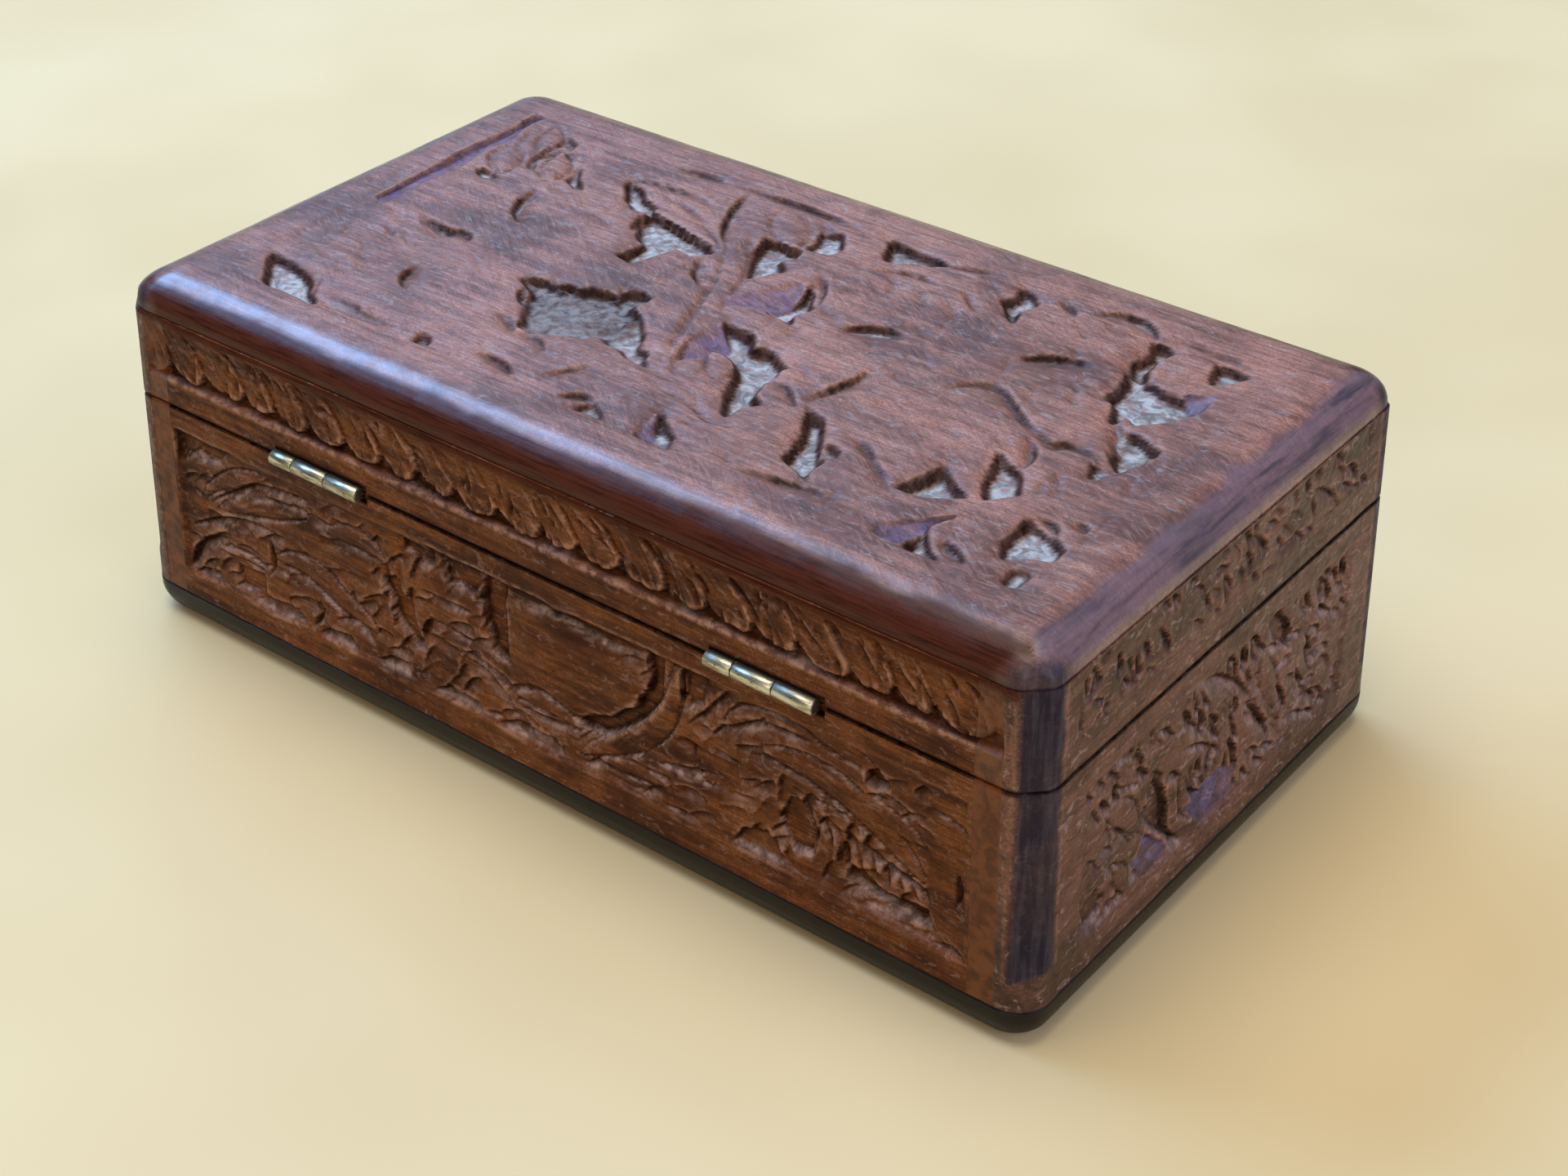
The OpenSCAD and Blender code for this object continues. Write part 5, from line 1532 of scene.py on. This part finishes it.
def wood(name, grain_axis, tones, dust_and_glint_colour, wear_and_highlight_colour, finish, fur=None):
    """Oiled carved wood: long grain, painted shade and dark wax in the cuts, dust on sunk floors, worn edges
    with painted highlights, and painted sheen, reflections and shade from the marks.
    """
    paint = Paint(name)
    dark = tones[0]
    roughness, specular, rim_specular, relief, flecked = finish
    noises = wood_noises(paint, grain_axis)
    tone, height = wood_grain(paint, noises, tones, fur)
    tone, height = wood_flecks(paint, grain_axis, tone, height, dark, dust_and_glint_colour, flecked)
    tone, wax_and_painted_shade, dust = age(paint, noises, tone, dark, dust_and_glint_colour, wear_and_highlight_colour)
    tone, flat_polish_and_reflection = handled(paint, noises, tone)
    paint.colour(tone)
    rim, lid_edge_shade = paint.mark("rim"), paint.mark("lid_edge_shade")
    rough = paint.between(paint.noise((0.3, 0.3, 0.3), 4, 0.6), 0.3, 0.7, roughness, roughness + 0.14)
    rough = paint.math("ADD", rough, paint.times(dust, 0.35))
    rough = paint.math("SUBTRACT", rough, paint.times(rim, 0.16))
    paint.feed(paint.shader.inputs["Roughness"], rough)
    # Less gloss under painted shade and wax, on the corner flats and in the lid edge's painted shade
    bare = paint.rest_of(paint.times(paint.math("MAXIMUM", flat_polish_and_reflection, wax_and_painted_shade), 0.8))
    shiny = paint.times(bare, paint.rest_of(paint.times(lid_edge_shade, 0.8)))
    shine = paint.times(shiny, paint.blend(rim, specular, rim_specular))
    paint.feed(paint.shader.inputs["Specular IOR Level"], shine)
    paint.bump(paint.times(height, paint.rest_of(paint.times(rim, 0.8))), relief)
    return paint.material


def metal(name, bright, dull, spots):
    """Worn metal: rubbed bright patches, dull ones and dark spots."""
    paint = Paint(name)
    rub = paint.noise((0.25, 2.6, 2.6), 3, 0.55)
    spot = paint.between(paint.noise((1.1, 2.4, 2.4), 3, 0.6), 0.6, 0.7, 0, 0.85)
    tone = paint.mix(paint.between(rub, 0.38, 0.62), dull, bright)
    paint.colour(paint.mix(spot, tone, spots))
    paint.feed(paint.shader.inputs["Roughness"], paint.between(rub, 0.35, 0.65, 0.42, 0.3))
    paint.set(metallic=1.0)
    paint.bump(paint.noise((0.6, 3, 3), 3, 0.6), 0.015)
    return paint.material


def plain_wood(name, dark, light, roughness):
    """Plain wood with straight grain along X."""
    paint = Paint(name)
    bands = paint.noise((0.03, 0.6, 0.6), 4, 0.55, 0.3)
    fibres = paint.noise((0.1, 2.6, 2.6), 3, 0.6)
    tone = paint.mix(paint.between(bands, 0.36, 0.66), dark, light)
    paint.colour(paint.mix(paint.between(fibres, 0.35, 0.7, 0.5, 0), tone, shaded(dark, 0.5)))
    paint.feed(paint.shader.inputs["Roughness"], paint.between(fibres, 0.3, 0.7, roughness, roughness + 0.15))
    paint.set(specular_ior_level=0.25)
    paint.bump(fibres, 0.08)
    return paint.material


# Stage

YAW, PITCH, ROLL = 218.94, 24.48, -0.41
EYE = (-0.24304, 0.30396, 0.27127)
LENS, SENSOR = 64.65, 36
SHIFT = (0.038, -0.287)
FLOOR_REACH = 3


def photo_camera():
    """The camera at the photograph's place and angle."""
    yaw, pitch, roll = (math.radians(a) for a in (YAW, PITCH, ROLL))
    forward = -Vector((math.sin(yaw) * math.cos(pitch), -math.cos(yaw) * math.cos(pitch), math.sin(pitch)))
    level = forward.cross(Vector((0, 0, 1))).normalized()
    upright = level.cross(forward)
    right = math.cos(roll) * level + math.sin(roll) * upright
    up = math.cos(roll) * upright - math.sin(roll) * level
    data = bpy.data.cameras.new("photo_camera")
    data.lens, data.sensor_width = LENS, SENSOR
    data.shift_x, data.shift_y = SHIFT
    data.clip_start = 0.01
    camera = linked(bpy.data.objects.new("photo_camera", data))
    turn = Matrix((right, up, -forward)).transposed().to_4x4()
    camera.matrix_world = Matrix.Translation(EYE) @ turn
    bpy.context.scene.camera = camera


def soft_light(name, direction, distance, size, power, colour):
    """A rectangular area light that looks at the box; its size is its width and height."""
    data = bpy.data.lights.new(name, "AREA")
    data.shape = "RECTANGLE"
    data.size, data.size_y = size
    data.energy, data.color = power, colour
    light = linked(bpy.data.objects.new(name, data))
    way = Vector(direction).normalized()
    light.location = way * distance + Vector((0, 0, 0.03))
    light.rotation_euler = way.to_track_quat("Z", "Y").to_euler()


def pale_floor():
    """The plain pale floor."""
    r = FLOOR_REACH
    mesh = bpy.data.meshes.new("floor")
    mesh.from_pydata([(-r, -r, 0), (r, -r, 0), (r, r, 0), (-r, r, 0)], [], [(0, 1, 2, 3)])
    floor = linked(bpy.data.objects.new("floor", mesh))
    paint = Paint("pale_floor")
    soft = paint.between(paint.noise((0.01, 0.01, 0.01), 2), 0.3, 0.7)
    paint.colour(paint.mix(soft, (0.67, 0.52, 0.29), (0.72, 0.575, 0.335)))
    paint.set(roughness=0.9, specular_ior_level=0.2)
    floor.data.materials.append(paint.material)


def world_light():
    """Even pale light from all round."""
    world = bpy.data.worlds.new("soft_world")
    bpy.context.scene.world = world
    world.use_nodes = True
    back = world.node_tree.nodes["Background"]
    back.inputs["Color"].default_value = (0.86, 0.91, 1.0, 1)
    back.inputs["Strength"].default_value = 0.17


# Making the box

def coat(piece, material):
    """Gives a piece its only material."""
    piece.data.materials.clear()
    piece.data.materials.append(material)


def place(piece, body, node, slot, material):
    """Seats a piece on its body in place of its node."""
    coat(piece, material)
    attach(piece, body)
    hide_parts(node)


def from_middle(carve):
    """Heights above the table, taken to heights from the middle of the carved field."""
    return lambda u, z: carve(u, z - FIELD_MIDDLE)


def feathers(u, z):
    return carve_feathers(u, z - BAND_LOW, LENGTH - 2 * CORNER_R, FEATHERS)


def end_band(u, z):
    return carve_end_band(u, z - BAND_LOW)


LONG_WOOD = wood("side_wood_long", 0, SIDE_TONES, SIDE_DUST_AND_GLINT, SIDE_WEAR_AND_HIGHLIGHT, LONG_FINISH)
END_WOOD = wood("side_wood_end", 1, END_TONES, SIDE_DUST_AND_GLINT, SIDE_WEAR_AND_HIGHLIGHT, END_FINISH)
TOP_WOOD = wood("top_wood", 0, TOP_TONES, TOP_DUST_AND_GLINT, TOP_WEAR_AND_HIGHLIGHT, TOP_FINISH, fur=(35, -5))
BASE_WOOD = plain_wood("base_wood", (0.006, 0.003, 0.002), (0.016, 0.007, 0.005), 0.32)
DOWEL_WOOD = plain_wood("dowel_wood", (0.42, 0.27, 0.13), (0.62, 0.45, 0.27), 0.6)
BRASS = metal("worn_brass", (0.66, 0.65, 0.54), (0.3, 0.26, 0.17), (0.05, 0.035, 0.02))
STEEL = metal("wire_steel", (0.55, 0.55, 0.56), (0.3, 0.3, 0.3), (0.08, 0.05, 0.03))

for side, board in ((FRONT, "front"), (BACK, "back")):
    made = long_board(f"{board}_board_carved", side, BODY_TOP, BASE_T, from_middle(carve_long))
    place(made, "body", f"{board}_board", "carved_side_wood", LONG_WOOD)
    made = long_board(f"lid_{board}_rail_carved", side, RAIL_Z, RAIL_TOP, feathers)
    place(made, "lid", f"lid_{board}_rail", "carved_side_wood", LONG_WOOD)
for side, board in ((LEFT_END, "left"), (RIGHT_END, "right")):
    made = end_board(f"{board}_end_board_carved", side, BASE_T, BODY_TOP, from_middle(carve_end), FLAT_STOP)
    place(made, "body", f"{board}_end_board", "carved_side_wood", END_WOOD)
    made = end_board(f"lid_{board}_rail_carved", side, RAIL_Z, RAIL_TOP, end_band, RAIL_Z - 5, feathers)
    place(made, "lid", f"lid_{board}_rail", "carved_side_wood", END_WOOD)
place(top_board(), "lid", "lid_top_board", "carved_top_wood", TOP_WOOD)
place(base_board(), "body", "base_board", "dark_base_wood", BASE_WOOD)
for side in ("left", "right"):
    for upper in (False, True):
        made, node = hinge_leaf(side, upper)
        place(made, "lid" if upper else "body", node, "worn_brass", BRASS)

# Inner pieces keep their CAD shape and get a material by the ending of their name
KEPT = {"screws": BRASS, "pin": STEEL, "nails": STEEL, "dowels": DOWEL_WOOD}
for node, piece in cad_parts.items():
    for ending, material in KEPT.items():
        if node.endswith(ending):
            coat(piece, material)

# The stage
photo_camera()
pale_floor()
world_light()
soft_light("window", (0.68, -0.1, 0.68), 1.5, (1.5, 0.56), 28, (0.25, 0.52, 1.0))
soft_light("low_window", (0.53, -0.66, 0.5), 1.7, (1.1, 1.1), 5, (0.46, 0.68, 1.0))
soft_light("end_window", (-0.9, -0.08, 0.36), 1.3, (1.2, 1.2), 9, (0.6, 0.68, 1.0))
soft_light("room", (-0.35, 0.75, 0.5), 2.0, (1.4, 1.4), 11, (1.0, 0.83, 0.62))
soft_light("overhead", (0.1, 0.05, 1), 2.6, (1.8, 1.8), 46, (1.0, 0.95, 0.8))

bpy.context.scene.view_settings.view_transform = "Standard"
